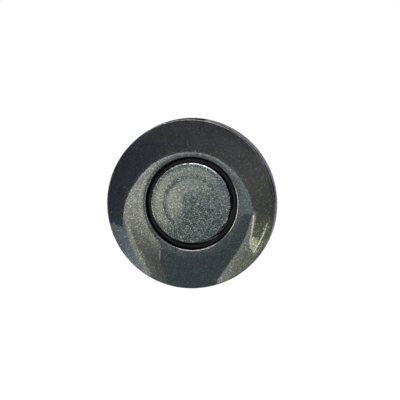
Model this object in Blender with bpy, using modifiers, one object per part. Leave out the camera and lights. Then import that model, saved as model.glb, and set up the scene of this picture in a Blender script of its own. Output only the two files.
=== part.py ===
# Parking sensor: a round ultrasonic sensor that is pushed into a hole in a car's bumper.
# The sensor's axis lies along Y. Its face looks along -Y and +Z is up. At y = 0 the gasket
# meets the bumper's outer skin: the bezel ring stands in front of it, the barrel, its spring
# clips and the plug socket lie behind it. All lengths are in metres.

import math

import bmesh
import bpy
from mathutils import Matrix, Vector

MM = 0.001

# Fit between pieces that touch on the real sensor
CLEARANCE = 0.25 * MM

# Transducer: the pot-shaped aluminium can whose front is the sounding membrane
MEMBRANE_DIAMETER = 14.0 * MM
MEMBRANE_THICKNESS = 0.8 * MM
MEMBRANE_EDGE_RADIUS = 0.35 * MM
CAN_COLLAR_WIDTH = 1.0 * MM
CAN_COLLAR_HEIGHT = 2.0 * MM
CAN_TAIL = 0.65 * MM
POCKET_WIDTH = 11.8 * MM
POCKET_HEIGHT = 9.4 * MM
PIEZO_DIAMETER = 8.0 * MM
PIEZO_THICKNESS = 0.5 * MM
FELT_THICKNESS = 1.2 * MM
LEAD_DIAMETER = 0.5 * MM
LEAD_PASSAGE = 1.2 * MM

# Silicone ring that holds the can and keeps its vibration out of the housing
GROOVE_WIDTH = 1.2 * MM
GROOVE_DEPTH = 1.0 * MM
RING_FRONT_WALL = 0.9 * MM
RING_REAR_LIP = 0.7 * MM

# Bezel ring: dished painted face, rim, inner collar and the sleeve behind it
BEZEL_DIAMETER = 30.0 * MM
RIM_HEIGHT = 3.15 * MM
RIM_DRAFT = 0.2 * MM
RIM_WALL = 1.1 * MM
RIM_LIFT = 0.2 * MM
RIM_EDGE_RADIUS = 0.35 * MM
DISH_RADIUS = 18.0 * MM
DISH_EDGE_RADIUS = 0.3 * MM
SKIN = 1.2 * MM
COLLAR_WALL = 0.7 * MM
COLLAR_TAIL = 0.6 * MM
SLEEVE_WALL = 1.3 * MM
SLEEVE_LENGTH = 11.0 * MM
SLEEVE_CHAMFER = 0.3 * MM

# Snap windows in the sleeve, and the barrel's lugs that spring into them
LUG_WIDTH = 5.0 * MM
LUG_LENGTH = 2.5 * MM
LUG_HEIGHT = 1.25 * MM
LUG_LAND = 0.8 * MM
WINDOW_START = 6.0 * MM
KEY_WIDTH = 1.7 * MM
KEY_LENGTH = 3.0 * MM
KEY_ANGLE = -45

# Gasket between the bezel and the bumper
GASKET_WIDTH = 1.7 * MM
GASKET_THICKNESS = 1.0 * MM
GASKET_CHAMFER = 0.2 * MM

# Spring clips that grip the back of the bumper's skin
CLIP_THICKNESS = 0.35 * MM
CLIP_WIDTH = 5.0 * MM
CLIP_REACH = 1.8 * MM
CLIP_LIP = 1.4 * MM
CLIP_GRIP_DEPTH = 3.0 * MM
CLIP_CREST_DEPTH = 4.4 * MM
CLIP_BEND_RADIUS = 0.2 * MM
CLIP_TAIL_INSET = 1.3 * MM
CLIP_SHANK = 1.4 * MM

# Housing: the barrel that takes the transducer in front and the circuit board behind
HOUSING_WALL = 1.0 * MM
LEDGE_WIDTH = 1.75 * MM
LEDGE_THICKNESS = 1.0 * MM
STOP_COLLAR_HEIGHT = 1.15 * MM
STOP_COLLAR_LENGTH = 1.75 * MM
REAR_WALL = 1.6 * MM
GRIP_RIBS = 12
GRIP_RIB_WIDTH = 1.2 * MM
GRIP_RIB_HEIGHT = 0.45 * MM

# Ring that presses the transducer into the barrel
CARRIER_WIDTH = 3.5 * MM
CARRIER_THICKNESS = 1.8 * MM
CARRIER_NOTCH = 1.8 * MM

# Circuit board and what stands on it
BOARD_THICKNESS = 1.0 * MM
BOARD_MARGIN = 0.9 * MM
BOARD_NOTCH_RADIUS = 0.8 * MM
PIN_HOLE_DIAMETER = 1.5 * MM
CORE_DIAMETER = 6.0 * MM
CORE_HEIGHT = 4.5 * MM
CORE_FLANGE = 0.8 * MM
CORE_POST_DIAMETER = 2.8 * MM
WINDING_DIAMETER = 5.4 * MM
CORE_ANGLE = 58
FILTER_DIAMETER = 4.0 * MM
FILTER_HEIGHT = 5.4 * MM
FILTER_BASE = 4.3 * MM
FILTER_BASE_HEIGHT = 0.9 * MM
FILTER_ANGLE = 148
CHIP_LENGTH = 5.0 * MM
CHIP_WIDTH = 3.9 * MM
CHIP_HEIGHT = 1.4 * MM
CHIP_ANGLE = 270
CHIP_LEADS_PER_SIDE = 4
CHIP_LEAD_PITCH = 1.27 * MM
CHIP_LEAD_WIDTH = 0.42 * MM
CHIP_LEAD_THICKNESS = 0.22 * MM
CHIP_LEAD_REACH = 1.05 * MM
CAPACITOR_DEPTH = 1.6 * MM
CAPACITOR_LENGTH = 3.2 * MM
CAPACITOR_HEIGHT = 1.4 * MM
CAPACITOR_ANGLES = (15, 345, 318)
RESISTOR_DEPTH = 1.25 * MM
RESISTOR_LENGTH = 2.0 * MM
RESISTOR_HEIGHT = 0.55 * MM
RESISTOR_ANGLES = (188, 206, 224)

# Rear cover with the plug socket
COVER_THICKNESS = 1.5 * MM
SPIGOT_LENGTH = 2.0 * MM
SPIGOT_WALL = 1.5 * MM
SEAL_DIAMETER = 0.7 * MM
SEAL_GROOVE_LENGTH = 1.15 * MM
SEAL_GROOVE_DEPTH = 0.9 * MM
SOCKET_WIDTH = 10.9 * MM
SOCKET_HEIGHT = 6.9 * MM
SOCKET_WALL = 1.3 * MM
SOCKET_DEPTH = 12.0 * MM
SOCKET_CORNER_RADIUS = 1.2 * MM
SLOT_WIDTH = 1.6 * MM
SLOT_LENGTH = 8.0 * MM
SLOT_SPREAD = 5.6 * MM
LATCH_WIDTH = 4.0 * MM
LATCH_LENGTH = 2.4 * MM
LATCH_HEIGHT = 1.1 * MM
LATCH_SETBACK = 2.6 * MM
GUSSET_WIDTH = 1.0 * MM
GUSSET_HEIGHT = 2.6 * MM
GUSSET_SPREAD = 4.6 * MM

# Contact pins
PIN_COUNT = 3
PIN_PITCH = 2.54 * MM
PIN_SIZE = 0.64 * MM
PIN_REACH = 6.0 * MM
PIN_TIP = 0.6 * MM
PIN_BOARD_STUB = 0.6 * MM

# Facets round a full turn
FINE = 56
MEDIUM = 40
SMALL = 24

# Radii that follow from the sizes above, from the membrane outwards
membrane_r = MEMBRANE_DIAMETER / 2
can_collar_r = membrane_r + CAN_COLLAR_WIDTH
groove_r = membrane_r + GROOVE_WIDTH
collar_r = groove_r + COLLAR_WALL
ring_r = max(collar_r, can_collar_r + 2 * CLEARANCE)
bore_r = ring_r + CLEARANCE
barrel_r = bore_r + HOUSING_WALL
sleeve_bore_r = barrel_r + CLEARANCE
sleeve_r = sleeve_bore_r + SLEEVE_WALL
rim_back_r = BEZEL_DIAMETER / 2
rim_front_r = rim_back_r - RIM_DRAFT
rim_bore_r = rim_back_r - RIM_WALL
rear_r = bore_r + REAR_WALL
stop_r = barrel_r + STOP_COLLAR_HEIGHT
ledge_r = bore_r - LEDGE_WIDTH
board_r = bore_r - CLEARANCE

# Places along the axis that follow from the sizes above, from the front backwards
rim_back_y = -RIM_LIFT
rim_front_y = rim_back_y - RIM_HEIGHT
dish_span = rim_front_r - groove_r
dish_y = rim_front_y + DISH_RADIUS - math.sqrt(DISH_RADIUS ** 2 - dish_span ** 2)
gasket_front_y = -GASKET_THICKNESS
pocket_floor_y = dish_y + SKIN
barrel_front_y = pocket_floor_y + CLEARANCE
pocket_y = dish_y + MEMBRANE_THICKNESS
ring_front_y = dish_y + GROOVE_DEPTH
ring_step_y = COLLAR_TAIL + CLEARANCE
can_collar_y = ring_step_y + RING_FRONT_WALL + CLEARANCE
can_collar_back_y = can_collar_y + CAN_COLLAR_HEIGHT
can_back_y = can_collar_back_y + CAN_TAIL
ring_back_y = can_collar_back_y + CLEARANCE + RING_REAR_LIP
carrier_y = max(ring_back_y, can_back_y) + CLEARANCE
carrier_back_y = carrier_y + CARRIER_THICKNESS
ledge_y = carrier_back_y + CLEARANCE
ledge_back_y = ledge_y + LEDGE_THICKNESS
board_y = ledge_back_y + CLEARANCE
board_back_y = board_y + BOARD_THICKNESS
mounted_y = board_back_y + CLEARANCE
parts_top_y = mounted_y + max(CORE_HEIGHT, FILTER_HEIGHT)
barrel_back_y = parts_top_y + CLEARANCE + SPIGOT_LENGTH
cover_y = barrel_back_y + CLEARANCE
socket_floor_y = cover_y + COVER_THICKNESS
socket_mouth_y = socket_floor_y + SOCKET_DEPTH
stop_y = SLEEVE_LENGTH + CLEARANCE


def clear_scene():
    for obj in list(bpy.data.objects):
        bpy.data.objects.remove(obj, do_unlink=True)


def new_collection(name):
    collection = bpy.data.collections.new(name)
    bpy.context.scene.collection.children.link(collection)
    return collection


def new_look(name, color, metallic, roughness):
    look = bpy.data.materials.new(name)
    look.use_nodes = True
    shader = look.node_tree.nodes["Principled BSDF"]
    shader.inputs["Base Color"].default_value = (*color, 1.0)
    shader.inputs["Metallic"].default_value = metallic
    shader.inputs["Roughness"].default_value = roughness
    look.diffuse_color = (*color, 1.0)
    return look


def new_object(name, mesh):
    obj = bpy.data.objects.new(name, mesh)
    sensor.objects.link(obj)
    return obj


def polar(distance, degrees):
    """A point of the XZ plane, counted from +X towards +Z."""
    angle = math.radians(degrees)
    return distance * math.cos(angle), distance * math.sin(angle)


def rounded(corners, steps=3):
    """The points of a closed outline whose corners (a, b, radius) become arcs."""
    points = []
    for index, (a, b, radius) in enumerate(corners):
        corner = Vector((a, b))
        if radius == 0:
            points.append(corner)
            continue
        back = (Vector(corners[index - 1][:2]) - corner).normalized()
        ahead = (Vector(corners[(index + 1) % len(corners)][:2]) - corner).normalized()
        half = back.angle(ahead) / 2
        centre = corner + (back + ahead).normalized() * radius / math.sin(half)
        start = corner + back * radius / math.tan(half) - centre
        stop = corner + ahead * radius / math.tan(half) - centre
        first = math.atan2(start.y, start.x)
        turn = (math.atan2(stop.y, stop.x) - first + math.pi) % (2 * math.pi) - math.pi
        for step in range(steps + 1):
            angle = first + turn * step / steps
            points.append(centre + radius * Vector((math.cos(angle), math.sin(angle))))
    return points


def turned(name, outline, segments, closed=True):
    """A body of revolution about Y. The outline's points are (radius, y)."""
    last = len(outline) - 1
    edges = [(index, index + 1) for index in range(last)]
    if closed:
        edges.append((last, 0))
    mesh = bpy.data.meshes.new(name)
    mesh.from_pydata([(radius, y, 0) for radius, y in outline], edges, [])
    obj = new_object(name, mesh)
    screw = obj.modifiers.new("turn", "SCREW")
    screw.axis = "Y"
    screw.steps = segments
    screw.render_steps = segments
    screw.use_merge_vertices = True
    screw.merge_threshold = 1e-6
    screw.use_normal_flip = True
    return obj


def box(name, low, high):
    """A block between two opposite corners."""
    low, high = Vector(low), Vector(high)
    size = Matrix.Diagonal((*(high - low), 1))
    shape = bmesh.new()
    bmesh.ops.create_cube(shape, size=1, matrix=Matrix.Translation((low + high) / 2) @ size)
    mesh = bpy.data.meshes.new(name)
    shape.to_mesh(mesh)
    shape.free()
    return new_object(name, mesh)


def rod(name, radius, start_y, end_y, centre=(0, 0), segments=SMALL):
    """A cylinder along Y. The centre is (x, z)."""
    shape = bmesh.new()
    place = Matrix.Translation((centre[0], (start_y + end_y) / 2, centre[1]))
    bmesh.ops.create_cone(
        shape, cap_ends=True, segments=segments, radius1=radius, radius2=radius,
        depth=end_y - start_y, matrix=place @ Matrix.Rotation(math.pi / 2, 4, "X"))
    mesh = bpy.data.meshes.new(name)
    shape.to_mesh(mesh)
    shape.free()
    return new_object(name, mesh)


def as_mesh(curve_object):
    """Replace a curve object by the welded mesh of what it shows."""
    bpy.context.view_layer.update()
    graph = bpy.context.evaluated_depsgraph_get()
    mesh = bpy.data.meshes.new_from_object(curve_object.evaluated_get(graph))
    shape = bmesh.new()
    shape.from_mesh(mesh)
    bmesh.ops.remove_doubles(shape, verts=shape.verts, dist=1e-6)
    shape.to_mesh(mesh)
    shape.free()
    mesh.transform(curve_object.matrix_world)
    name = curve_object.name
    bpy.data.objects.remove(curve_object, do_unlink=True)
    return new_object(name, mesh)


def flat(name, outline, thickness, place=Matrix()):
    """A plate with this outline in its own XY plane, its thickness centred on that plane."""
    curve = bpy.data.curves.new(name, "CURVE")
    curve.dimensions = "2D"
    curve.fill_mode = "BOTH"
    curve.extrude = thickness / 2
    spline = curve.splines.new("POLY")
    spline.points.add(len(outline) - 1)
    for point, (a, b) in zip(spline.points, outline):
        point.co = (a, b, 0, 1)
    spline.use_cyclic_u = True
    obj = new_object(name, curve)
    obj.matrix_world = place
    return as_mesh(obj)


def across(y):
    """Stand a plate in the XZ plane at this y."""
    return Matrix.Translation((0, y, 0)) @ Matrix.Rotation(math.pi / 2, 4, "X")


def round_to(degrees):
    """Turn what lies at +X round the axis to this angle, counted towards +Z."""
    return Matrix.Rotation(-math.radians(degrees), 4, "Y")


def moved(obj, matrix):
    obj.data.transform(matrix)
    return obj


def wire(name, route, diameter, points_per_span=5):
    """A round wire on a smooth curve through the route's points."""
    path = []
    ends = [route[0]] + route + [route[-1]]
    for p0, p1, p2, p3 in zip(ends, ends[1:], ends[2:], ends[3:]):
        p0, p1, p2, p3 = map(Vector, (p0, p1, p2, p3))
        for step in range(points_per_span):
            t = step / points_per_span
            bend = (2 * p0 - 5 * p1 + 4 * p2 - p3) * t ** 2 + (3 * p1 - p0 - 3 * p2 + p3) * t ** 3
            path.append((2 * p1 + (p2 - p0) * t + bend) / 2)
    path.append(Vector(route[-1]))
    curve = bpy.data.curves.new(name, "CURVE")
    curve.dimensions = "3D"
    curve.bevel_depth = diameter / 2
    curve.bevel_resolution = 2
    curve.use_fill_caps = True
    spline = curve.splines.new("POLY")
    spline.points.add(len(path) - 1)
    for point, place in zip(spline.points, path):
        point.co = (*place, 1)
    return as_mesh(new_object(name, curve))


def combine(body, tool, operation):
    """Join a helper to a body, or cut it from it, and put it among the helpers."""
    boolean = body.modifiers.new(tool.name, "BOOLEAN")
    boolean.operation = operation
    boolean.solver = "EXACT"
    boolean.object = tool
    sensor.objects.unlink(tool)
    helpers.objects.link(tool)
    tool.hide_render = True
    tool.display_type = "WIRE"


def cut(body, *tools):
    for tool in tools:
        combine(body, tool, "DIFFERENCE")


def join(body, *tools):
    for tool in tools:
        combine(body, tool, "UNION")


def soften(body, width, segments=1, angle=40):
    """Break the edges that are sharper than the angle."""
    bevel = body.modifiers.new("soften", "BEVEL")
    bevel.width = width
    bevel.segments = segments
    bevel.limit_method = "ANGLE"
    bevel.angle_limit = math.radians(angle)


def finish(body, look, location=(0, 0, 0)):
    """Turn a body's modifiers into its mesh, shade it and place it."""
    bpy.context.view_layer.update()
    graph = bpy.context.evaluated_depsgraph_get()
    mesh = bpy.data.meshes.new_from_object(body.evaluated_get(graph))
    body.modifiers.clear()
    body.data = mesh
    mesh.shade_smooth()
    mesh.set_sharp_from_angle(angle=math.radians(30))
    mesh.materials.clear()
    mesh.materials.append(look)
    body.location = location
    body.parent = root
    return body


# Front of the sensor

def dish_arc(steps=7):
    """Points of the bezel's hollow face, from the groove's edge out to the rim."""
    sweep = math.asin(dish_span / DISH_RADIUS)
    points = []
    for step in range(1, steps):
        angle = sweep * step / steps
        radius = groove_r + DISH_RADIUS * math.sin(angle)
        points.append((radius, dish_y - DISH_RADIUS * (1 - math.cos(angle)), 0))
    return points


def make_bezel_ring():
    """Dished face, rim and inner collar, and the sleeve that passes through the bumper."""
    seat_y = gasket_front_y - CLEARANCE
    outline = rounded([
        (groove_r, dish_y, DISH_EDGE_RADIUS),
        *dish_arc(),
        (rim_front_r, rim_front_y, RIM_EDGE_RADIUS),
        (rim_back_r, rim_back_y, 0),
        (rim_bore_r, rim_back_y, 0),
        (rim_bore_r, seat_y, 0),
        (sleeve_r, seat_y, 0),
        (sleeve_r, SLEEVE_LENGTH - SLEEVE_CHAMFER, 0),
        (sleeve_r - SLEEVE_CHAMFER, SLEEVE_LENGTH, 0),
        (sleeve_bore_r, SLEEVE_LENGTH, 0),
        (sleeve_bore_r, pocket_floor_y, 0),
        (collar_r, pocket_floor_y, 0),
        (collar_r, COLLAR_TAIL, 0),
        (groove_r, COLLAR_TAIL, 0),
    ])
    bezel = turned("bezel_ring", outline, FINE)
    clip_half = CLIP_WIDTH / 2 + CLEARANCE
    slot_half = clip_half + CLEARANCE / 2
    outside = sleeve_r + 2 * CLEARANCE
    groove_floor_r = sleeve_r - CLIP_THICKNESS - CLEARANCE
    tail_y = SLEEVE_LENGTH - CLIP_TAIL_INSET
    for side, degrees in (("left", 180), ("right", 0)):
        groove = box("clip_groove_" + side,
                     (groove_floor_r, CLIP_GRIP_DEPTH - CLEARANCE * 2, -clip_half),
                     (outside, SLEEVE_LENGTH + CLEARANCE, clip_half))
        slot = box("clip_slot_" + side,
                   (bore_r, tail_y - CLEARANCE, -slot_half),
                   (outside + CLEARANCE, tail_y + CLIP_THICKNESS + CLEARANCE, slot_half))
        cut(bezel, moved(groove, round_to(degrees)), moved(slot, round_to(degrees)))
    lug_half = LUG_WIDTH / 2 + CLEARANCE
    for side, degrees in (("upper", 90), ("lower", 270)):
        window = box("snap_window_" + side,
                     (bore_r, WINDOW_START, -lug_half),
                     (outside, WINDOW_START + LUG_LENGTH + 2 * CLEARANCE, lug_half))
        cut(bezel, moved(window, round_to(degrees)))
    key_half = KEY_WIDTH / 2 + CLEARANCE
    notch = box("key_notch",
                (bore_r, SLEEVE_LENGTH - KEY_LENGTH, -key_half),
                (outside, SLEEVE_LENGTH + CLEARANCE, key_half))
    cut(bezel, moved(notch, round_to(KEY_ANGLE)))
    finish(bezel, paint)


def make_gasket():
    """Rubber ring behind the bezel. Its back face lies on the bumper."""
    inner_r = sleeve_r + CLEARANCE
    outer_r = inner_r + GASKET_WIDTH
    outline = [
        (inner_r, gasket_front_y),
        (outer_r, gasket_front_y),
        (outer_r, -GASKET_CHAMFER),
        (outer_r - GASKET_CHAMFER, 0),
        (inner_r + GASKET_CHAMFER, 0),
        (inner_r, -GASKET_CHAMFER),
    ]
    finish(turned("bumper_gasket", outline, FINE), rubber)


def oval(width, height, steps=MEDIUM):
    """An ellipse's points, in the XZ plane once it stands across the axis."""
    turns = [2 * math.pi * step / steps for step in range(steps)]
    return [(width / 2 * math.cos(turn), height / 2 * math.sin(turn)) for turn in turns]


def make_membrane_can():
    """Pot with a round membrane in front, a collar for the ring and an oval pocket."""
    outline = rounded([
        (0, dish_y, 0),
        (membrane_r, dish_y, MEMBRANE_EDGE_RADIUS),
        (membrane_r, can_collar_y, 0),
        (can_collar_r, can_collar_y, 0),
        (can_collar_r, can_collar_back_y, 0),
        (membrane_r, can_collar_back_y, 0),
        (membrane_r, can_back_y, 0),
        (0, can_back_y, 0),
    ])
    can = turned("membrane_can", outline, FINE, closed=False)
    end_y = can_back_y + CLEARANCE
    pocket = flat("can_pocket", oval(POCKET_WIDTH, POCKET_HEIGHT), end_y - pocket_y,
                  across((pocket_y + end_y) / 2))
    cut(can, pocket)
    finish(can, painted_aluminium)


def make_decoupling_ring():
    """Soft ring: its narrow nose fills the groove, its body wraps the can's collar."""
    inner_r = membrane_r + CLEARANCE
    nose_r = groove_r - CLEARANCE
    recess_r = can_collar_r + CLEARANCE
    outline = [
        (inner_r, ring_front_y),
        (nose_r, ring_front_y),
        (nose_r, ring_step_y),
        (ring_r, ring_step_y),
        (ring_r, ring_back_y),
        (inner_r, ring_back_y),
        (inner_r, can_collar_back_y + CLEARANCE),
        (recess_r, can_collar_back_y + CLEARANCE),
        (recess_r, can_collar_y - CLEARANCE),
        (inner_r, can_collar_y - CLEARANCE),
    ]
    finish(turned("decoupling_ring", outline, MEDIUM), silicone)


def make_can_contents():
    """The piezo disc on the membrane, the felt behind it and the foam that fills the can."""
    piezo_y = pocket_y + CLEARANCE
    felt_y = piezo_y + PIEZO_THICKNESS + CLEARANCE
    foam_y = felt_y + FELT_THICKNESS + CLEARANCE
    piezo = rod("piezo_disc", PIEZO_DIAMETER / 2, piezo_y, piezo_y + PIEZO_THICKNESS, segments=MEDIUM)
    finish(piezo, ceramic)
    width = POCKET_WIDTH - 2 * CLEARANCE
    height = POCKET_HEIGHT - 2 * CLEARANCE
    fillings = (
        ("damping_felt", felt_y, felt_y + FELT_THICKNESS, felt),
        ("can_filler", foam_y, can_back_y - CLEARANCE, foam),
    )
    for name, start_y, end_y, look in fillings:
        filling = flat(name, oval(width, height, SMALL), end_y - start_y, across((start_y + end_y) / 2))
        passage = rod(name + "_passage", LEAD_PASSAGE / 2, start_y - CLEARANCE, end_y + CLEARANCE, segments=12)
        cut(filling, passage)
        finish(filling, look)


def make_leads():
    """Signal wire from the piezo's middle, ground wire from the can's back edge."""
    signal_start_y = pocket_y + 2 * CLEARANCE + PIEZO_THICKNESS
    pad_y = board_y - CLEARANCE
    pad_z = PIN_SIZE * 3
    signal = wire("lead_signal", [
        (0, signal_start_y, 0),
        (0, can_back_y, 0),
        (0, carrier_back_y - CLEARANCE, pad_z * 0.9),
        (0, pad_y, pad_z),
    ], LEAD_DIAMETER)
    finish(signal, red_wire)
    ground_z = (POCKET_HEIGHT / 2 + membrane_r) / 2
    ground = wire("lead_ground", [
        (0, can_back_y + CLEARANCE, ground_z),
        (0, carrier_back_y, ground_z),
        (0, pad_y, ground_z - LEAD_DIAMETER),
    ], LEAD_DIAMETER)
    finish(ground, black_wire)


# Spring clips and barrel

def strip(path, thickness, bend_radius):
    """The outline of a bent strip: the path's outer side and its inner side, joined at the ends."""
    sides = [[], []]
    for index, point in enumerate(path):
        point = Vector(point)
        runs = []
        if index > 0:
            runs.append((point - Vector(path[index - 1])).normalized())
        if index < len(path) - 1:
            runs.append((Vector(path[index + 1]) - point).normalized())
        normals = [Vector((-run.y, run.x)) for run in runs]
        across_path = (normals[0] + normals[-1]).normalized()
        offset = across_path * thickness / 2 / across_path.dot(normals[0])
        turn = 0
        if len(runs) == 2:
            turn = runs[0].cross(runs[1])
        inside, outside = bend_radius, bend_radius + thickness
        radii = (inside, outside) if turn > 0 else (outside, inside)
        for side, sign, radius in zip(sides, (1, -1), radii):
            side.append((*(point + sign * offset), radius if turn else 0))
    return rounded(sides[0] + sides[1][::-1], steps=2)


def make_spring_clips():
    """A bent leaf on each side: anchored behind, it rises forwards and turns in at a lip."""
    flat_r = sleeve_r - CLIP_THICKNESS / 2
    crest_r = sleeve_r + CLIP_REACH
    tail_y = SLEEVE_LENGTH - CLIP_TAIL_INSET + CLIP_THICKNESS / 2
    path = [
        (sleeve_bore_r + CLEARANCE, tail_y),
        (flat_r, tail_y),
        (flat_r, tail_y - CLIP_SHANK),
        (crest_r, CLIP_CREST_DEPTH),
        (crest_r - CLIP_LIP, CLIP_GRIP_DEPTH),
    ]
    outline = strip(path, CLIP_THICKNESS, CLIP_BEND_RADIUS)
    for side, degrees in (("left", 180), ("right", 0)):
        clip = flat("spring_clip_" + side, outline, CLIP_WIDTH, round_to(degrees))
        finish(clip, spring_steel)


def make_housing():
    """The barrel: bore for the transducer, ledge, chamber, snap lugs, stop collar and grip ribs."""
    outline = [
        (bore_r, barrel_front_y),
        (barrel_r - CLEARANCE, barrel_front_y),
        (barrel_r, barrel_front_y + CLEARANCE),
        (barrel_r, stop_y),
        (stop_r, stop_y),
        (stop_r, stop_y + STOP_COLLAR_LENGTH),
        (rear_r, stop_y + STOP_COLLAR_LENGTH),
        (rear_r, barrel_back_y),
        (bore_r, barrel_back_y),
        (bore_r, ledge_back_y),
        (ledge_r, ledge_back_y),
        (ledge_r, ledge_y),
        (bore_r, ledge_y),
    ]
    housing = turned("sensor_housing", outline, FINE)
    root_r = barrel_r - HOUSING_WALL / 2
    lug_front = WINDOW_START + CLEARANCE
    lug_back = lug_front + LUG_LENGTH
    lug = [
        (root_r, lug_front),
        (barrel_r, lug_front),
        (barrel_r + LUG_HEIGHT, lug_back - LUG_LAND),
        (barrel_r + LUG_HEIGHT, lug_back),
        (root_r, lug_back),
    ]
    for side, degrees in (("upper", 90), ("lower", 270)):
        join(housing, flat("snap_lug_" + side, lug, LUG_WIDTH, round_to(degrees)))
    key = box("barrel_key", (root_r, SLEEVE_LENGTH - KEY_LENGTH + CLEARANCE, -KEY_WIDTH / 2),
              (stop_r - CLEARANCE / 2, stop_y + STOP_COLLAR_LENGTH / 2, KEY_WIDTH / 2))
    join(housing, moved(key, round_to(KEY_ANGLE)))
    for index in range(GRIP_RIBS):
        rib = box(f"grip_rib_{index + 1}",
                  (rear_r - REAR_WALL / 2, stop_y + STOP_COLLAR_LENGTH / 2, -GRIP_RIB_WIDTH / 2),
                  (rear_r + GRIP_RIB_HEIGHT, barrel_back_y - SLEEVE_CHAMFER, GRIP_RIB_WIDTH / 2))
        join(housing, moved(rib, round_to(360 * index / GRIP_RIBS)))
    finish(housing, black_plastic)


def make_carrier_ring():
    """Ring pressed in behind the transducer, notched for the wires."""
    outer_r = bore_r - CLEARANCE
    inner_r = outer_r - CARRIER_WIDTH
    outline = [
        (inner_r, carrier_y),
        (outer_r - CLEARANCE, carrier_y),
        (outer_r, carrier_y + CLEARANCE),
        (outer_r, carrier_back_y),
        (inner_r, carrier_back_y),
    ]
    carrier = turned("carrier_ring", outline, MEDIUM)
    for side, degrees in (("upper", 90), ("lower", 270)):
        notch = box("carrier_notch_" + side,
                    (inner_r - CLEARANCE, carrier_y - CLEARANCE, -CARRIER_NOTCH / 2),
                    (membrane_r, carrier_back_y + CLEARANCE, CARRIER_NOTCH / 2))
        cut(carrier, moved(notch, round_to(degrees)))
    finish(carrier, white_plastic)


# Circuit board and its parts

def make_board():
    board = rod("circuit_board", board_r, board_y, board_back_y, segments=FINE)
    for index in range(PIN_COUNT):
        hole = rod(f"pin_hole_{index + 1}", PIN_HOLE_DIAMETER / 2, board_y - CLEARANCE,
                   board_back_y + CLEARANCE, centre=(pin_x(index), 0), segments=16)
        cut(board, hole)
    for degrees in (KEY_ANGLE, KEY_ANGLE + 180):
        notch = rod("board_notch", BOARD_NOTCH_RADIUS, board_y - CLEARANCE,
                    board_back_y + CLEARANCE, centre=polar(board_r, degrees), segments=16)
        cut(board, notch)
    finish(board, green_board)


def on_board(half_depth, degrees):
    """Where a part stands whose outer side keeps the margin from the board's edge."""
    x, z = polar(board_r - BOARD_MARGIN - half_depth, degrees)
    return x, mounted_y, z


def make_transformer():
    """Ferrite drum and the copper wire wound on it."""
    core_r = CORE_DIAMETER / 2
    post_r = CORE_POST_DIAMETER / 2
    top = CORE_HEIGHT
    place = on_board(core_r, CORE_ANGLE)
    core = turned("transformer_core", [
        (0, 0), (core_r, 0), (core_r, CORE_FLANGE), (post_r, CORE_FLANGE),
        (post_r, top - CORE_FLANGE), (core_r, top - CORE_FLANGE), (core_r, top), (0, top),
    ], SMALL, closed=False)
    finish(core, ferrite, place)
    winding_r = WINDING_DIAMETER / 2
    low = CORE_FLANGE + CLEARANCE
    high = top - CORE_FLANGE - CLEARANCE
    winding = turned("transformer_winding", [
        (post_r + CLEARANCE, low), (winding_r, low), (winding_r, high), (post_r + CLEARANCE, high),
    ], SMALL)
    finish(winding, copper, place)


def make_filter_capacitor():
    """Upright aluminium can, its neck rolled in, on a square moulded base."""
    half = FILTER_BASE / 2
    can_r = FILTER_DIAMETER / 2
    neck_r = can_r - CLEARANCE
    can = turned("filter_capacitor", [
        (0, FILTER_BASE_HEIGHT / 2),
        (can_r, FILTER_BASE_HEIGHT / 2),
        (can_r, FILTER_BASE_HEIGHT * 1.6),
        (neck_r, FILTER_BASE_HEIGHT * 1.9),
        (can_r, FILTER_BASE_HEIGHT * 2.2),
        (can_r, FILTER_HEIGHT - CLEARANCE),
        (can_r - CLEARANCE, FILTER_HEIGHT),
        (0, FILTER_HEIGHT),
    ], SMALL, closed=False)
    chamfer = half / 2
    base = [(-half, -half), (half, -half), (half, half - chamfer), (half - chamfer, half),
            (chamfer - half, half), (-half, half - chamfer)]
    join(can, flat("filter_base", base, FILTER_BASE_HEIGHT, across(FILTER_BASE_HEIGHT / 2)))
    finish(can, aluminium, on_board(half * math.sqrt(2), FILTER_ANGLE))


def make_control_chip():
    """Moulded chip with bent leads on two sides."""
    half_length = CHIP_LENGTH / 2
    half_width = CHIP_WIDTH / 2
    chip = box("control_chip", (-half_length, CHIP_LEAD_THICKNESS, -half_width),
               (half_length, CHIP_HEIGHT, half_width))
    soften(chip, CHIP_LEAD_THICKNESS / 2)
    middle = CHIP_HEIGHT / 2
    reach = half_width + CHIP_LEAD_REACH
    lead = strip([
        (half_width / 2, middle),
        (half_width + CHIP_LEAD_REACH * 0.35, middle),
        (half_width + CHIP_LEAD_REACH * 0.5, CHIP_LEAD_THICKNESS / 2),
        (reach, CHIP_LEAD_THICKNESS / 2),
    ], CHIP_LEAD_THICKNESS, CHIP_LEAD_THICKNESS / 4)
    for side, degrees in (("a", 90), ("b", 270)):
        for index in range(CHIP_LEADS_PER_SIDE):
            x = (index - (CHIP_LEADS_PER_SIDE - 1) / 2) * CHIP_LEAD_PITCH
            place = Matrix.Translation((x, 0, 0)) @ round_to(degrees)
            join(chip, flat(f"chip_lead_{side}{index + 1}", lead, CHIP_LEAD_WIDTH, place))
    finish(chip, chip_black, on_board(reach, CHIP_ANGLE))


def make_small_parts():
    """Ceramic capacitors and flat resistors, each with its long side round the board's edge."""
    capacitor = (CAPACITOR_DEPTH, CAPACITOR_LENGTH, CAPACITOR_HEIGHT)
    resistor = (RESISTOR_DEPTH, RESISTOR_LENGTH, RESISTOR_HEIGHT)
    groups = (
        ("capacitor", capacitor, CAPACITOR_ANGLES, capacitor_brown),
        ("resistor", resistor, RESISTOR_ANGLES, resistor_black),
    )
    for kind, (depth, length, height), angles, look in groups:
        for index, degrees in enumerate(angles):
            part = box(f"{kind}_{index + 1}", (-depth / 2, 0, -length / 2), (depth / 2, height, length / 2))
            soften(part, height / 10)
            moved(part, round_to(degrees))
            finish(part, look, on_board(depth / 2, degrees))


# Rear cover, seal and pins

def pin_x(index):
    return (index - (PIN_COUNT - 1) / 2) * PIN_PITCH


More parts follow.
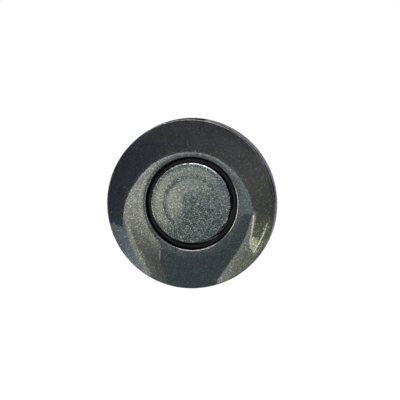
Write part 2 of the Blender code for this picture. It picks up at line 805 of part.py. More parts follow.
def round_rectangle(width, height, radius):
    a, b = width / 2, height / 2
    return rounded([(-a, -b, radius), (a, -b, radius), (a, b, radius), (-a, b, radius)])


def make_rear_cover():
    """Plate with a spigot in the barrel's end and the plug socket standing on its back."""
    spigot_r = bore_r - CLEARANCE
    spigot_bore_r = spigot_r - SPIGOT_WALL
    groove_floor_r = spigot_r - SEAL_GROOVE_DEPTH
    start_y = cover_y - SPIGOT_LENGTH
    outline = [
        (0, cover_y),
        (spigot_bore_r, cover_y),
        (spigot_bore_r, start_y),
        (spigot_r, start_y),
        (spigot_r, cover_y - CLEARANCE - SEAL_GROOVE_LENGTH),
        (groove_floor_r, cover_y - CLEARANCE - SEAL_GROOVE_LENGTH),
        (groove_floor_r, cover_y - CLEARANCE),
        (spigot_r, cover_y - CLEARANCE),
        (spigot_r, cover_y),
        (rear_r, cover_y),
        (rear_r, socket_floor_y - CLEARANCE),
        (rear_r - CLEARANCE, socket_floor_y),
        (0, socket_floor_y),
    ]
    cover = turned("rear_cover", outline, FINE, closed=False)
    outer_width = SOCKET_WIDTH + 2 * SOCKET_WALL
    outer_height = SOCKET_HEIGHT + 2 * SOCKET_WALL
    shroud_start_y = socket_floor_y - COVER_THICKNESS / 2
    shroud = flat("socket_shroud",
                  round_rectangle(outer_width, outer_height, SOCKET_CORNER_RADIUS + SOCKET_WALL),
                  socket_mouth_y - shroud_start_y, across((shroud_start_y + socket_mouth_y) / 2))
    join(cover, shroud)
    cut_end_y = socket_mouth_y + CLEARANCE
    hollow = flat("socket_hollow",
                  round_rectangle(SOCKET_WIDTH, SOCKET_HEIGHT, SOCKET_CORNER_RADIUS),
                  cut_end_y - socket_floor_y, across((socket_floor_y + cut_end_y) / 2))
    cut(cover, hollow)
    for side, sign in (("left", -1), ("right", 1)):
        x = sign * SLOT_SPREAD / 2
        slot = box("key_slot_" + side, (x - SLOT_WIDTH / 2, socket_mouth_y - SLOT_LENGTH, 0),
                   (x + SLOT_WIDTH / 2, cut_end_y, outer_height))
        cut(cover, slot)
    nose_y = socket_mouth_y - LATCH_SETBACK
    nose = [
        (SOCKET_HEIGHT / 2 + SOCKET_WALL / 2, nose_y - LATCH_LENGTH),
        (outer_height / 2 + LATCH_HEIGHT, nose_y - LATCH_LENGTH),
        (outer_height / 2 + LATCH_HEIGHT, nose_y - LATCH_LENGTH * 0.7),
        (outer_height / 2, nose_y),
        (SOCKET_HEIGHT / 2 + SOCKET_WALL / 2, nose_y),
    ]
    join(cover, flat("latch_nose", nose, LATCH_WIDTH, round_to(270)))
    gusset = [
        (outer_width / 2 - SOCKET_WALL / 2, shroud_start_y),
        (rear_r - 2 * SLEEVE_CHAMFER, shroud_start_y),
        (rear_r - 2 * SLEEVE_CHAMFER, socket_floor_y),
        (outer_width / 2, socket_floor_y + GUSSET_HEIGHT),
        (outer_width / 2 - SOCKET_WALL / 2, socket_floor_y + GUSSET_HEIGHT),
    ]
    for side, degrees in (("left", 180), ("right", 0)):
        for level, z in (("low", -GUSSET_SPREAD / 2), ("high", GUSSET_SPREAD / 2)):
            place = Matrix.Translation((0, 0, z)) @ round_to(degrees)
            join(cover, flat(f"gusset_{side}_{level}", gusset, GUSSET_WIDTH, place))
    hole_half = PIN_SIZE / 2 + CLEARANCE
    for index in range(PIN_COUNT):
        x = pin_x(index)
        hole = box(f"pin_passage_{index + 1}", (x - hole_half, cover_y - CLEARANCE, -hole_half),
                   (x + hole_half, socket_floor_y + CLEARANCE, hole_half))
        cut(cover, hole)
    finish(cover, black_plastic)


def make_cover_seal():
    """Round rubber ring in the spigot's groove."""
    middle_y = cover_y - CLEARANCE - SEAL_GROOVE_LENGTH / 2
    floor_r = bore_r - CLEARANCE - SEAL_GROOVE_DEPTH
    middle_r = (floor_r + bore_r) / 2
    bpy.ops.mesh.primitive_torus_add(
        major_radius=middle_r, minor_radius=SEAL_DIAMETER / 2, major_segments=MEDIUM, minor_segments=6,
        location=(0, middle_y, 0), rotation=(math.pi / 2, 0, 0))
    seal = bpy.context.object
    seal.name = "cover_seal"
    for collection in list(seal.users_collection):
        collection.objects.unlink(seal)
    sensor.objects.link(seal)
    finish(seal, rubber, seal.location.copy())


def make_contact_pins():
    """Square tinned pins from the board through the cover into the socket, their tips tapered."""
    half = PIN_SIZE / 2
    start_y = board_y - PIN_BOARD_STUB
    end_y = socket_floor_y + PIN_REACH
    for index in range(PIN_COUNT):
        pin = box(f"contact_pin_{index + 1}", (-half, start_y, -half), (half, end_y - PIN_TIP, half))
        shape = bmesh.new()
        shape.from_mesh(pin.data)
        end = [face for face in shape.faces if face.normal.y > 0.9]
        tip = bmesh.ops.extrude_face_region(shape, geom=end)["geom"]
        tip = [vert for vert in tip if isinstance(vert, bmesh.types.BMVert)]
        for vert in tip:
            vert.co = (vert.co.x / 2, end_y, vert.co.z / 2)
        bmesh.ops.delete(shape, geom=end, context="FACES")
        shape.to_mesh(pin.data)
        shape.free()
        finish(pin, tinned, (pin_x(index), 0, 0))


clear_scene()
sensor = new_collection("parking_sensor")
helpers = new_collection("helpers")
root = bpy.data.objects.new("sensor_frame", None)
sensor.objects.link(root)

paint = new_look("graphite_paint", (0.045, 0.055, 0.055), 0.6, 0.3)
painted_aluminium = new_look("painted_aluminium", (0.05, 0.062, 0.062), 0.6, 0.3)
silicone = new_look("black_silicone", (0.008, 0.009, 0.01), 0.0, 0.6)
rubber = new_look("black_rubber", (0.012, 0.012, 0.012), 0.0, 0.75)
black_plastic = new_look("black_plastic", (0.015, 0.015, 0.016), 0.0, 0.45)
white_plastic = new_look("natural_plastic", (0.62, 0.6, 0.54), 0.0, 0.5)
spring_steel = new_look("spring_steel", (0.55, 0.55, 0.56), 1.0, 0.3)
ceramic = new_look("silvered_ceramic", (0.7, 0.68, 0.62), 0.6, 0.4)
felt = new_look("grey_felt", (0.25, 0.25, 0.25), 0.0, 0.95)
foam = new_look("silicone_foam", (0.6, 0.6, 0.58), 0.0, 0.8)
red_wire = new_look("red_wire", (0.45, 0.02, 0.02), 0.0, 0.5)
black_wire = new_look("black_wire", (0.02, 0.02, 0.02), 0.0, 0.5)
green_board = new_look("green_board", (0.01, 0.12, 0.05), 0.0, 0.4)
ferrite = new_look("ferrite", (0.03, 0.03, 0.032), 0.1, 0.6)
copper = new_look("enamelled_copper", (0.6, 0.22, 0.09), 1.0, 0.3)
aluminium = new_look("aluminium", (0.75, 0.75, 0.76), 1.0, 0.3)
chip_black = new_look("chip_black", (0.015, 0.015, 0.015), 0.0, 0.6)
capacitor_brown = new_look("capacitor_brown", (0.32, 0.2, 0.11), 0.0, 0.5)
resistor_black = new_look("resistor_black", (0.02, 0.02, 0.022), 0.0, 0.4)
tinned = new_look("tinned_brass", (0.72, 0.72, 0.7), 1.0, 0.25)

make_bezel_ring()
make_gasket()
make_membrane_can()
make_decoupling_ring()
make_can_contents()
make_leads()
make_spring_clips()
make_housing()
make_carrier_ring()
make_board()
make_transformer()
make_filter_capacitor()
make_control_chip()
make_small_parts()
make_rear_cover()
make_cover_seal()
make_contact_pins()
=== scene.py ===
import math

import bmesh
import bpy
import numpy as np
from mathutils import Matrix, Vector


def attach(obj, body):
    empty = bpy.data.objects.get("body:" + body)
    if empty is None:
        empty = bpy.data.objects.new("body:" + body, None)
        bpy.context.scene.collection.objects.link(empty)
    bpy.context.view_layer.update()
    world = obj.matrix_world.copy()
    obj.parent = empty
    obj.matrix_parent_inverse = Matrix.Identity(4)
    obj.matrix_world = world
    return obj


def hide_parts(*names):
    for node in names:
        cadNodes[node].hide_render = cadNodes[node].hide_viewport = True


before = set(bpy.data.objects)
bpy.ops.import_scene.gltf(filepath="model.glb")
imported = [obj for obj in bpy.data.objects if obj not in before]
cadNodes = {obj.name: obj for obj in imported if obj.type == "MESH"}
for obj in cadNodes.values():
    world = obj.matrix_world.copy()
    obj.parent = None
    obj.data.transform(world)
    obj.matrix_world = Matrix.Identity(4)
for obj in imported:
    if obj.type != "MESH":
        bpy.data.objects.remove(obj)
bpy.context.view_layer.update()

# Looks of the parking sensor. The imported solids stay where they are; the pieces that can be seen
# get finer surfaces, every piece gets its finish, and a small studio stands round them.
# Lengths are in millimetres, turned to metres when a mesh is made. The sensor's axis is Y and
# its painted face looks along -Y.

mm = 0.001
scene = bpy.context.scene


# Surfaces

def unit(vector):
    return vector / np.linalg.norm(vector)


def roundedPath(corners, steps=8, guard=0.12):
    # Closed outline through (radius, y, fillet) corners. A fillet is the arc of a circle that
    # touches both runs, with one more point outside each end, this share of the fillet away,
    # to keep the runs flat.
    places = np.array([corner[:2] for corner in corners], float)
    parts = []
    for index, (_, _, fillet) in enumerate(corners):
        here = places[index]
        if fillet == 0:
            parts.append(here[None])
            continue
        back = unit(places[index - 1] - here)
        ahead = unit(places[(index + 1) % len(places)] - here)
        half = np.arccos(np.clip(back @ ahead, -1, 1)) / 2
        centre = here + unit(back + ahead) * fillet / np.sin(half)
        start = here + back * fillet / np.tan(half)
        stop = here + ahead * fillet / np.tan(half)
        first = np.arctan2(*(start - centre)[::-1])
        turn = (np.arctan2(*(stop - centre)[::-1]) - first + np.pi) % (2 * np.pi) - np.pi
        angles = first + turn * np.linspace(0, 1, steps + 1)
        arc = centre + fillet * np.stack([np.cos(angles), np.sin(angles)], 1)
        parts.append(np.vstack([start + back * guard * fillet, arc, stop + ahead * guard * fillet]))
    return np.vstack(parts)


def evenAngles(count):
    return np.arange(count) * 2 * np.pi / count


def outlineRadius(halfWidth, halfHeight, corner, angles):
    # Distance from the axis to a round-cornered rectangle, in each direction: the nearer of the
    # two sides, or the corner's circle. Equal halves and corner make a circle, corner -1 an oval.
    a, b, c = (np.asarray(value, float)[:, None] for value in (halfWidth, halfHeight, corner))
    ux, uz = np.abs(np.cos(angles))[None], np.abs(np.sin(angles))[None]
    ux, uz = np.maximum(ux, 1e-9), np.maximum(uz, 1e-9)
    p, q = a - np.abs(c), b - np.abs(c)
    along = ux * p + uz * q
    atCorner = along + np.sqrt(np.maximum(along ** 2 - (p ** 2 + q ** 2 - c ** 2), 0))
    atSide = np.where(a / ux * uz <= q, a / ux, np.where(b / uz * ux <= p, b / uz, atCorner))
    oval = a * b / np.sqrt((b * ux) ** 2 + (a * uz) ** 2)
    return np.where(c < 0, oval, atSide)


def loft(name, rows, angles, relief=None, closed=True):
    # Grid of two parameters, row and angle. Each row (half width, half height, corner, y) is an
    # outline across the axis: x = R cos t, z = R sin t, with R its radius plus the relief there.
    rows = np.asarray(rows, float)
    radius = outlineRadius(rows[:, 0], rows[:, 1], rows[:, 2], angles)
    if relief is not None:
        radius = radius + relief
    y = np.broadcast_to(rows[:, 3:4], radius.shape)
    points = np.stack([radius * np.cos(angles), y, radius * np.sin(angles)], -1) * mm
    count, turns = radius.shape
    i = np.arange(count if closed else count - 1)[:, None]
    j = np.arange(turns)[None]
    below, after = (i + 1) % count, (j + 1) % turns
    here, below = i * turns, below * turns
    faces = np.stack([here + j, here + after, below + after, below + j], -1)
    return newMesh(name, points.reshape(-1, 3), faces.reshape(-1, 4))


def revolve(name, profile, turns=256, closed=True):
    # The profile's (radius, y) points carried round the axis
    radius = profile[:, 0]
    rows = np.stack([radius, radius, radius, profile[:, 1]], 1)
    return loft(name, rows, evenAngles(turns), closed=closed)


def sweep(name, path, section, sizes=None):
    # A closed section (u, v) carried along a path in the plane z = 0: u lies along Z and v along
    # the path's normal, which is its direction turned by a right angle. Both ends are capped.
    path = np.asarray(path, float)
    section = np.asarray(section, float)
    sizes = np.ones(len(path)) if sizes is None else np.asarray(sizes, float)
    run = np.gradient(path, axis=0)
    run /= np.linalg.norm(run, axis=1)[:, None]
    normal = np.stack([-run[:, 1], run[:, 0]], 1)
    flat = path[:, None] + sizes[:, None, None] * section[None, :, 1, None] * normal[:, None]
    across = sizes[:, None] * section[None, :, 0]
    points = np.concatenate([flat, across[..., None]], -1) * mm
    count, turns = len(path), len(section)
    i, j = np.arange(count - 1)[:, None], np.arange(turns)[None]
    after = (j + 1) % turns
    here, below = i * turns, (i + 1) * turns
    sides = np.stack([here + j, here + after, below + after, below + j], -1)
    ends = [list(range(turns)), list(range((count - 1) * turns, count * turns))]
    return newMesh(name, points.reshape(-1, 3), sides.reshape(-1, 4).tolist() + ends)


def newMesh(name, points, faces):
    # Poles and seams are merged first, then the faces are turned outwards
    mesh = bpy.data.meshes.new(name)
    mesh.from_pydata(np.asarray(points).tolist(), [], [list(face) for face in faces])
    work = bmesh.new()
    work.from_mesh(mesh)
    bmesh.ops.remove_doubles(work, verts=work.verts, dist=1e-8)
    bmesh.ops.recalc_face_normals(work, faces=work.faces)
    work.to_mesh(mesh)
    work.free()
    obj = bpy.data.objects.new(name, mesh)
    scene.collection.objects.link(obj)
    return obj


def pointsOf(obj):
    # The mesh's points, one row each, in metres
    points = np.empty(len(obj.data.vertices) * 3)
    obj.data.vertices.foreach_get("co", points)
    return points.reshape(-1, 3)


def setPoints(obj, points):
    obj.data.vertices.foreach_set("co", points.ravel())
    obj.data.update()
    return obj


def turnedBy(obj, degrees):
    # Turn the mesh round the axis, from +X towards +Z
    cosine, sine = math.cos(math.radians(degrees)), math.sin(math.radians(degrees))
    x, y, z = pointsOf(obj).T
    return setPoints(obj, np.stack([x * cosine - z * sine, y, x * sine + z * cosine], 1))


def block(name, low, high):
    # Rectangular block between two corners: each of its eight points picks low or high on each axis
    pick = np.indices((2, 2, 2)).reshape(3, 8).T
    points = np.where(pick, high, low) * mm
    faces = [(0, 1, 3, 2), (4, 6, 7, 5), (0, 4, 5, 1), (2, 3, 7, 6), (0, 2, 6, 4), (1, 5, 7, 3)]
    return newMesh(name, points, faces)


def combine(body, tools, operation):
    # Boolean each tool with the body, then keep only the result
    for tool in tools:
        boolean = body.modifiers.new(tool.name, "BOOLEAN")
        boolean.operation, boolean.solver, boolean.object = operation, "EXACT", tool
    bpy.context.view_layer.update()
    graph = bpy.context.evaluated_depsgraph_get()
    mesh = bpy.data.meshes.new_from_object(body.evaluated_get(graph))
    body.modifiers.clear()
    body.data = mesh
    for tool in tools:
        bpy.data.objects.remove(tool, do_unlink=True)
    return body


def breakEdges(body, width, angle=40):
    # Small bevel on the edges that are sharper than the angle, then applied
    bevel = body.modifiers.new("edges", "BEVEL")
    bevel.width, bevel.segments = width * mm, 2
    bevel.limit_method, bevel.angle_limit = "ANGLE", math.radians(angle)
    bevel.use_clamp_overlap = True
    return combine(body, [], "UNION")


def place(piece, material, replaced=(), sharp=32):
    # Finish a piece: smooth shading, its material, its body and the solids it stands for
    piece.data.shade_smooth()
    piece.data.set_sharp_from_angle(angle=math.radians(sharp))
    piece.data.materials.clear()
    for one in (material if isinstance(material, list) else [material]):
        piece.data.materials.append(one)
    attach(piece, "root")
    if replaced:
        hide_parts(*replaced)
    return piece


# Finishes

class Finish:
    # One material: a Principled shader and the nodes that feed it

    def __init__(self, name, color, roughness, metallic=0.0, **sockets):
        self.material = bpy.data.materials.new(name)
        self.material.use_nodes = True
        self.tree = self.material.node_tree
        self.shader = self.tree.nodes["Principled BSDF"]
        sockets.update(Metallic=metallic, Roughness=roughness, Base_Color=(*color, 1))
        for socket, value in sockets.items():
            self.shader.inputs[socket.replace("_", " ")].default_value = value
        self.coordinates = self.node("ShaderNodeTexCoord").outputs["Object"]

    def node(self, kind, **settings):
        made = self.tree.nodes.new(kind)
        for key, value in settings.items():
            setattr(made, key, value)
        return made

    def link(self, source, target):
        self.tree.links.new(source, target)

    def feed(self, socket, value):
        # A socket gets a link, a number or a colour
        if isinstance(value, bpy.types.NodeSocket):
            self.link(value, socket)
        else:
            socket.default_value = value if isinstance(value, (int, float)) else (*value, 1)

    def noise(self, size, detail=3.0, stretch=(1, 1, 1), rough=0.5):
        # Noise whose features are about this many millimetres, stretched along the axes
        mapping = self.node("ShaderNodeMapping")
        mapping.inputs["Scale"].default_value = tuple(1 / (size * mm * s) for s in stretch)
        texture = self.node("ShaderNodeTexNoise")
        texture.inputs["Scale"].default_value = 1.0
        texture.inputs["Detail"].default_value = detail
        texture.inputs["Roughness"].default_value = rough
        self.link(self.coordinates, mapping.inputs["Vector"])
        self.link(mapping.outputs[0], texture.inputs["Vector"])
        return texture.outputs["Fac"]

    def cells(self, size, output="Color"):
        # Random cells of about this many millimetres
        texture = self.node("ShaderNodeTexVoronoi")
        texture.inputs["Scale"].default_value = 1 / (size * mm)
        self.link(self.coordinates, texture.inputs["Vector"])
        return texture.outputs[output]

    def channels(self, color):
        # The three channels of a colour, each its own random number in a field of cells
        split = self.node("ShaderNodeSeparateColor")
        self.link(color, split.inputs[0])
        return split.outputs

    def remap(self, value, low, high, fromLow=0.0, fromHigh=1.0):
        # Linear from one range to another, held at its ends
        made = self.node("ShaderNodeMapRange")
        for socket, number in zip(made.inputs, (value, fromLow, fromHigh, low, high)):
            self.feed(socket, number)
        return made.outputs["Result"]

    def blend(self, factor, first, second, mode="MIX"):
        # Mix of two colours: the node's inputs 0, 6 and 7 are the factor and the two colours
        made = self.node("ShaderNodeMix", data_type="RGBA", blend_type=mode)
        for index, value in ((0, factor), (6, first), (7, second)):
            self.feed(made.inputs[index], value)
        return made.outputs[2]

    def math(self, operation, first, second=0.0):
        made = self.node("ShaderNodeMath", operation=operation)
        for socket, value in zip(made.inputs, (first, second)):
            self.feed(socket, value)
        return made.outputs[0]

    def axis(self, letter):
        # One coordinate of the object, in millimetres
        split = self.node("ShaderNodeSeparateXYZ")
        self.link(self.coordinates, split.inputs[0])
        return self.math("MULTIPLY", split.outputs[letter], 1 / mm)

    def colour(self, source):
        self.link(source, self.shader.inputs["Base Color"])

    def roughness(self, source):
        self.link(source, self.shader.inputs["Roughness"])

    def bump(self, height, depth, strength=1.0, target="Normal"):
        # The height's 0 to 1 stands for this many millimetres
        made = self.node("ShaderNodeBump")
        made.inputs["Strength"].default_value = strength
        made.inputs["Distance"].default_value = depth * mm
        self.link(height, made.inputs["Height"])
        self.link(made.outputs[0], self.shader.inputs[target])


# Metallic paint. Sizes are in millimetres, tilts are shares of a unit normal.
paintLook = {
    "binder": (0.023, 0.024, 0.027), "flakeDark": (0.03, 0.042, 0.045),
    "flakeColor": (0.27, 0.33, 0.335), "cover": 0.32, "coverSpread": 0.02, "tint": 0.4,
    "warm": (0.80, 0.45, 0.22), "warmFrom": 0.997, "cool": (0.26, 0.46, 0.60), "coolFrom": 0.985,
    "flake": 0.20, "fineFlake": 0.125, "tilt": 0.008, "fineTilt": 0.006, "follow": 1.0,
    "roughness": 0.125, "coat": 2.15, "coatRoughness": 0.02, "peelSize": 1.4, "peelDepth": 0.0012,
    "curlSize": 0.42, "curlWidth": 0.1, "curl": (0.85, 1.1),
}
# The membrane's paint is grainier, and its flakes lie flatter than its face
membraneLook = {
    **paintLook, "flakeColor": (0.40, 0.50, 0.50), "cover": 0.5, "flake": 0.17, "fineFlake": 0.10,
    "follow": 0.6, "roughness": 0.28, "coatRoughness": 0.06, "curl": (0.0, 1.9),
}


def makePaint(name, look):
    # A dark binder with bright flakes in it, each a cell with its own tilt and tint, under a
    # smooth clear coat with a faint orange peel. Where a fine cell's number passes the cover,
    # there is flake. The rare warm and cool cells are sparkles.
    paint = Finish(name, look["binder"], look["roughness"], Coat_Weight=1.0, Coat_IOR=look["coat"],
                   Coat_Roughness=look["coatRoughness"], Specular_IOR_Level=0.0)
    flakes, fine = paint.cells(look["flake"]), paint.cells(look["fineFlake"])
    random, fineRandom = paint.channels(flakes), paint.channels(fine)
    bare, spread = 1 - look["cover"], look["coverSpread"]
    cover = paint.remap(fineRandom[0], 0, 1, bare - spread, bare + spread)
    metal = paint.blend(random[0], look["flakeDark"], look["flakeColor"])
    metal = paint.blend(look["tint"], metal, fine, "SOFT_LIGHT")
    for channel, kind in ((1, "warm"), (2, "cool")):
        rare = paint.math("GREATER_THAN", random[channel], look[kind + "From"])
        metal = paint.blend(rare, metal, look[kind])
    # Curled lines: the flake is darker where a noise is close to its middle value
    curl = paint.math("SUBTRACT", paint.noise(look["curlSize"], detail=1.0), 0.5)
    shade = paint.remap(paint.math("ABSOLUTE", curl), *look["curl"], 0.0, look["curlWidth"])
    metal = paint.blend(1.0, metal, shade, "MULTIPLY")
    paint.colour(paint.blend(cover, look["binder"], metal))
    paint.link(cover, paint.shader.inputs["Metallic"])
    # The flakes' normal: the face's own, its lean across the axis times follow, plus each cell's
    # random colour less a half, times the tilt. The coat keeps the face's normal.
    levelled = paint.node("ShaderNodeVectorMath", operation="MULTIPLY")
    paint.link(paint.node("ShaderNodeNewGeometry").outputs["Normal"], levelled.inputs[0])
    levelled.inputs[1].default_value = (look["follow"], 1, look["follow"])
    normal = levelled.outputs[0]
    for cell, tilt in ((flakes, look["tilt"]), (fine, look["fineTilt"])):
        centred = paint.node("ShaderNodeVectorMath", operation="SUBTRACT")
        paint.link(cell, centred.inputs[0])
        centred.inputs[1].default_value = (0.5, 0.5, 0.5)
        leaned = paint.node("ShaderNodeVectorMath", operation="MULTIPLY_ADD")
        paint.link(centred.outputs[0], leaned.inputs[0])
        leaned.inputs[1].default_value = (tilt, tilt, tilt)
        paint.link(normal, leaned.inputs[2])
        normal = leaned.outputs[0]
    even = paint.node("ShaderNodeVectorMath", operation="NORMALIZE")
    paint.link(normal, even.inputs[0])
    paint.link(even.outputs[0], paint.shader.inputs["Normal"])
    paint.bump(paint.noise(look["peelSize"], detail=1.0), look["peelDepth"], target="Coat Normal")
    return paint.material


def makeMoulded(name, color, roughness, grain=0.12, depth=0.004, spread=0.08):
    # Moulded plastic: fine spark-eroded grain, with a broad unevenness in its shine and colour
    plastic = Finish(name, color, roughness)
    broad = plastic.noise(3.5, detail=2.0)
    fineGrain = plastic.noise(grain, detail=2.0)
    plastic.roughness(plastic.remap(broad, roughness - spread, roughness + spread, 0.3, 0.7))
    lighter = tuple(min(1.0, channel * 1.35 + 0.002) for channel in color)
    plastic.colour(plastic.blend(plastic.remap(broad, 0, 0.8, 0.35, 0.75), color, lighter))
    plastic.bump(fineGrain, depth)
    return plastic.material


def makeRubber(name, color, roughness, speck=0.2, shine=0.5):
    # Soft rubber: matt, with a faint bloom and tiny pits
    rubber = Finish(name, color, roughness, Specular_IOR_Level=shine)
    bloom = rubber.noise(1.6, detail=4.0)
    paler = tuple(channel * 2.2 + 0.001 for channel in color)
    rubber.colour(rubber.blend(rubber.remap(bloom, 0, 0.7, 0.45, 0.75), color, paler))
    rubber.roughness(rubber.remap(bloom, roughness + 0.06, roughness - 0.08, 0.3, 0.7))
    rubber.bump(rubber.noise(speck, detail=3.0), 0.006)
    return rubber.material


def makeSpringSteel(name):
    # Rolled strip: fine lines along the leaf, and a faint straw and blue heat tint
    steel = Finish(name, (0.50, 0.50, 0.51), 0.26, metallic=1.0)
    lines = steel.noise(0.08, detail=2.0, stretch=(30, 30, 1))
    steel.roughness(steel.remap(lines, 0.18, 0.36, 0.3, 0.7))
    tint = steel.noise(4.0, detail=1.0)
    warm = steel.blend(steel.remap(tint, 0, 1, 0.40, 0.65), (0.50, 0.50, 0.51), (0.56, 0.50, 0.40))
    steel.colour(steel.blend(steel.remap(tint, 0.55, 0, 0.28, 0.45), warm, (0.36, 0.40, 0.50)))
    steel.bump(lines, 0.001)
    return steel.material


def makeMetal(name, color, roughness, grain, stretch=(1, 1, 1)):
    # Plain metal whose shine varies with a fine grain
    metal = Finish(name, color, roughness, metallic=1.0)
    speckle = metal.noise(grain, detail=3.0, stretch=stretch)
    metal.roughness(metal.remap(speckle, roughness * 0.7, roughness * 1.4, 0.3, 0.7))
    darker = tuple(channel * 0.72 for channel in color)
    metal.colour(metal.blend(metal.remap(metal.noise(1.2), 0, 0.7, 0.45, 0.75), color, darker))
    metal.bump(speckle, 0.0012)
    return metal.material


def makeCapped(name, color, roughness, centres, half, cap):
    # Small board part with tinned ends: tin where a point is further than half from the middle,
    # measured along the part's own length, and near the part at all, within six caps of it.
    # Centres are (x, z, degrees), one for each part.
    part = Finish(name, color, roughness)
    x, z = part.axis("X"), part.axis("Z")
    nearest = None
    for cx, cz, degrees in centres:
        cosine, sine = math.cos(math.radians(degrees + 90)), math.sin(math.radians(degrees + 90))
        dx, dz = part.math("SUBTRACT", x, cx), part.math("SUBTRACT", z, cz)
        turned = (part.math("ADD", part.math("MULTIPLY", dx, p), part.math("MULTIPLY", dz, q))
                  for p, q in ((cosine, sine), (-sine, cosine)))
        along, across = (part.math("ABSOLUTE", distance) for distance in turned)
        inside = part.math("LESS_THAN", part.math("MAXIMUM", along, across), cap * 6)
        tin = part.math("MULTIPLY", inside, part.math("GREATER_THAN", along, half))
        nearest = tin if nearest is None else part.math("MAXIMUM", nearest, tin)
    body = part.blend(part.remap(part.noise(0.3), 0, 0.6, 0.3, 0.7), color, tuple(c * 0.7 for c in color))
    part.colour(part.blend(nearest, body, (0.62, 0.62, 0.60)))
    part.link(nearest, part.shader.inputs["Metallic"])
    part.roughness(part.remap(nearest, roughness, 0.3))
    part.bump(part.noise(0.1), 0.003)
    return part.material


def makeBoard(name):
    # Green solder mask over copper tracks, with the glass weave showing through. The weave is a
    # sine across times a sine up; a track is the middle of a lane, where a broad noise is high.
    board = Finish(name, (0.008, 0.085, 0.035), 0.32, Coat_Weight=0.4, Coat_Roughness=0.1)
    x, z = board.axis("X"), board.axis("Z")
    weave = board.math("MULTIPLY", board.math("SINE", board.math("MULTIPLY", x, 9.0)),
                       board.math("SINE", board.math("MULTIPLY", z, 9.0)))
    lane = board.math("FRACT", board.math("MULTIPLY", x, 0.45))
    lane = board.math("ABSOLUTE", board.math("SUBTRACT", lane, 0.5))
    track = board.math("MULTIPLY", board.math("LESS_THAN", lane, 0.13),
                       board.math("GREATER_THAN", board.noise(4.0, detail=0.0), 0.48))
    green = board.blend(board.remap(weave, 0, 0.35, -1, 1), (0.006, 0.070, 0.030), (0.012, 0.110, 0.050))
    board.colour(board.blend(track, green, (0.030, 0.170, 0.065)))
    board.bump(track, 0.02, strength=0.6)
    return board.material


def makeWinding(name):
    # Enamelled copper wire, lying in close turns across the axis. Its colour darkens into the creases
    # between turns: painted shade.
    copper = Finish(name, (0.60, 0.20, 0.08), 0.28, metallic=1.0, Coat_Weight=0.6, Coat_Roughness=0.08)
    turns = copper.math("ABSOLUTE", copper.math("SINE", copper.math("MULTIPLY", copper.axis("Y"), 14.0)))
    # Deep brown in the creases between turns and bright copper on their crowns: painted shade, following
    # the bump
    copper.colour(copper.blend(turns, (0.22, 0.06, 0.02), (0.66, 0.24, 0.10)))
    copper.bump(turns, 0.10)
    return copper.material


def makeFibrous(name, color, size):
    # Pressed felt or foam: open, matt and slightly fuzzy
    felt = Finish(name, color, 0.95, Sheen_Weight=0.4)
    fibres = felt.noise(size, detail=5.0, rough=0.75)
    darker, lighter = tuple(c * 0.55 for c in color), tuple(min(1, c * 1.4) for c in color)
    felt.colour(felt.blend(fibres, darker, lighter))
    felt.bump(fibres, 0.06)
    return felt.material


def makeCeramic(name):
    # Silvered piezo ceramic: brushed paste with small specks
    silver = Finish(name, (0.72, 0.70, 0.64), 0.38, metallic=0.8)
    specks = silver.cells(0.15, output="Distance")
    silver.roughness(silver.remap(specks, 0.3, 0.55))
    silver.bump(silver.noise(0.12), 0.004)
    return silver.material


bezelPaint = makePaint("bezelPaint", paintLook)
membranePaint = makePaint("membranePaint", membraneLook)
blackPlastic = makeMoulded("blackPlastic", (0.014, 0.014, 0.015), 0.42)
socketPlastic = makeMoulded("socketPlastic", (0.017, 0.017, 0.018), 0.38, grain=0.16)
whitePlastic = makeMoulded("naturalPlastic", (0.60, 0.58, 0.52), 0.45)
silicone = makeRubber("blackSilicone", (0.002, 0.005, 0.008), 0.42, shine=0.45)
rubber = makeRubber("gasketRubber", (0.011, 0.011, 0.011), 0.72, speck=0.3)
springSteel = makeSpringSteel("springSteel")
tin = makeMetal("tinnedBrass", (0.70, 0.70, 0.67), 0.24, 0.2)
aluminium = makeMetal("turnedAluminium", (0.72, 0.72, 0.73), 0.34, 0.15)
print("finishes made")


# Painted bezel ring: dished face, rim, collar round the groove, and the bare sleeve behind
bezel = {
    "groove": 8.2, "collar": 8.9, "rimFront": 14.8, "rimBack": 15.0, "rimBore": 13.9,
    "sleeve": 11.7, "sleeveBore": 10.4, "dish": 18.0, "dishShares": (0.08, 0.87),
    "faceY": -2.096, "rimFrontY": -3.35, "rimMiddle": (14.93, -1.9), "rimBackY": -0.2,
    "seatY": -1.25, "pocketY": -0.896, "collarEndY": 0.6, "endY": 11.0, "endChamfer": 0.3,
    "grooveChamfer": 0.14, "grooveDrop": 0.066, "rimFillet": 0.09, "smallFillet": 0.12,
    "paintTo": -1.5, "wrapTo": -0.4,
    # cuts in the sleeve: lowest and highest corner, and the turn; the side cuts are made twice
    "sideCuts": {
        "clipGroove": ((11.1, 2.5, -2.75), (12.2, 11.5, 2.75), 0),
        "clipSlot": ((9.15, 9.45, -2.875), (12.4, 10.3, 2.875), 0),
        "snapWindow": ((9.15, 6.0, -2.75), (12.2, 9.0, 2.75), 90),
    },
    "keyNotch": ((9.15, 8.0, -1.1), (12.2, 11.25, 1.1), -45),
}


def dishProfile(size):
    # A circular arc that is level at the groove and turns up towards the rim, left out close to
    # both of its ends: r = groove + R sin a, y = face - R (1 - cos a)
    whole = math.asin((size["rimFront"] - size["groove"]) / size["dish"])
    a = whole * np.linspace(*size["dishShares"], 40)
    radius = size["groove"] + size["dish"] * np.sin(a)
    y = size["faceY"] - size["dish"] * (1 - np.cos(a))
    return [(r, d, 0) for r, d in zip(radius, y)]


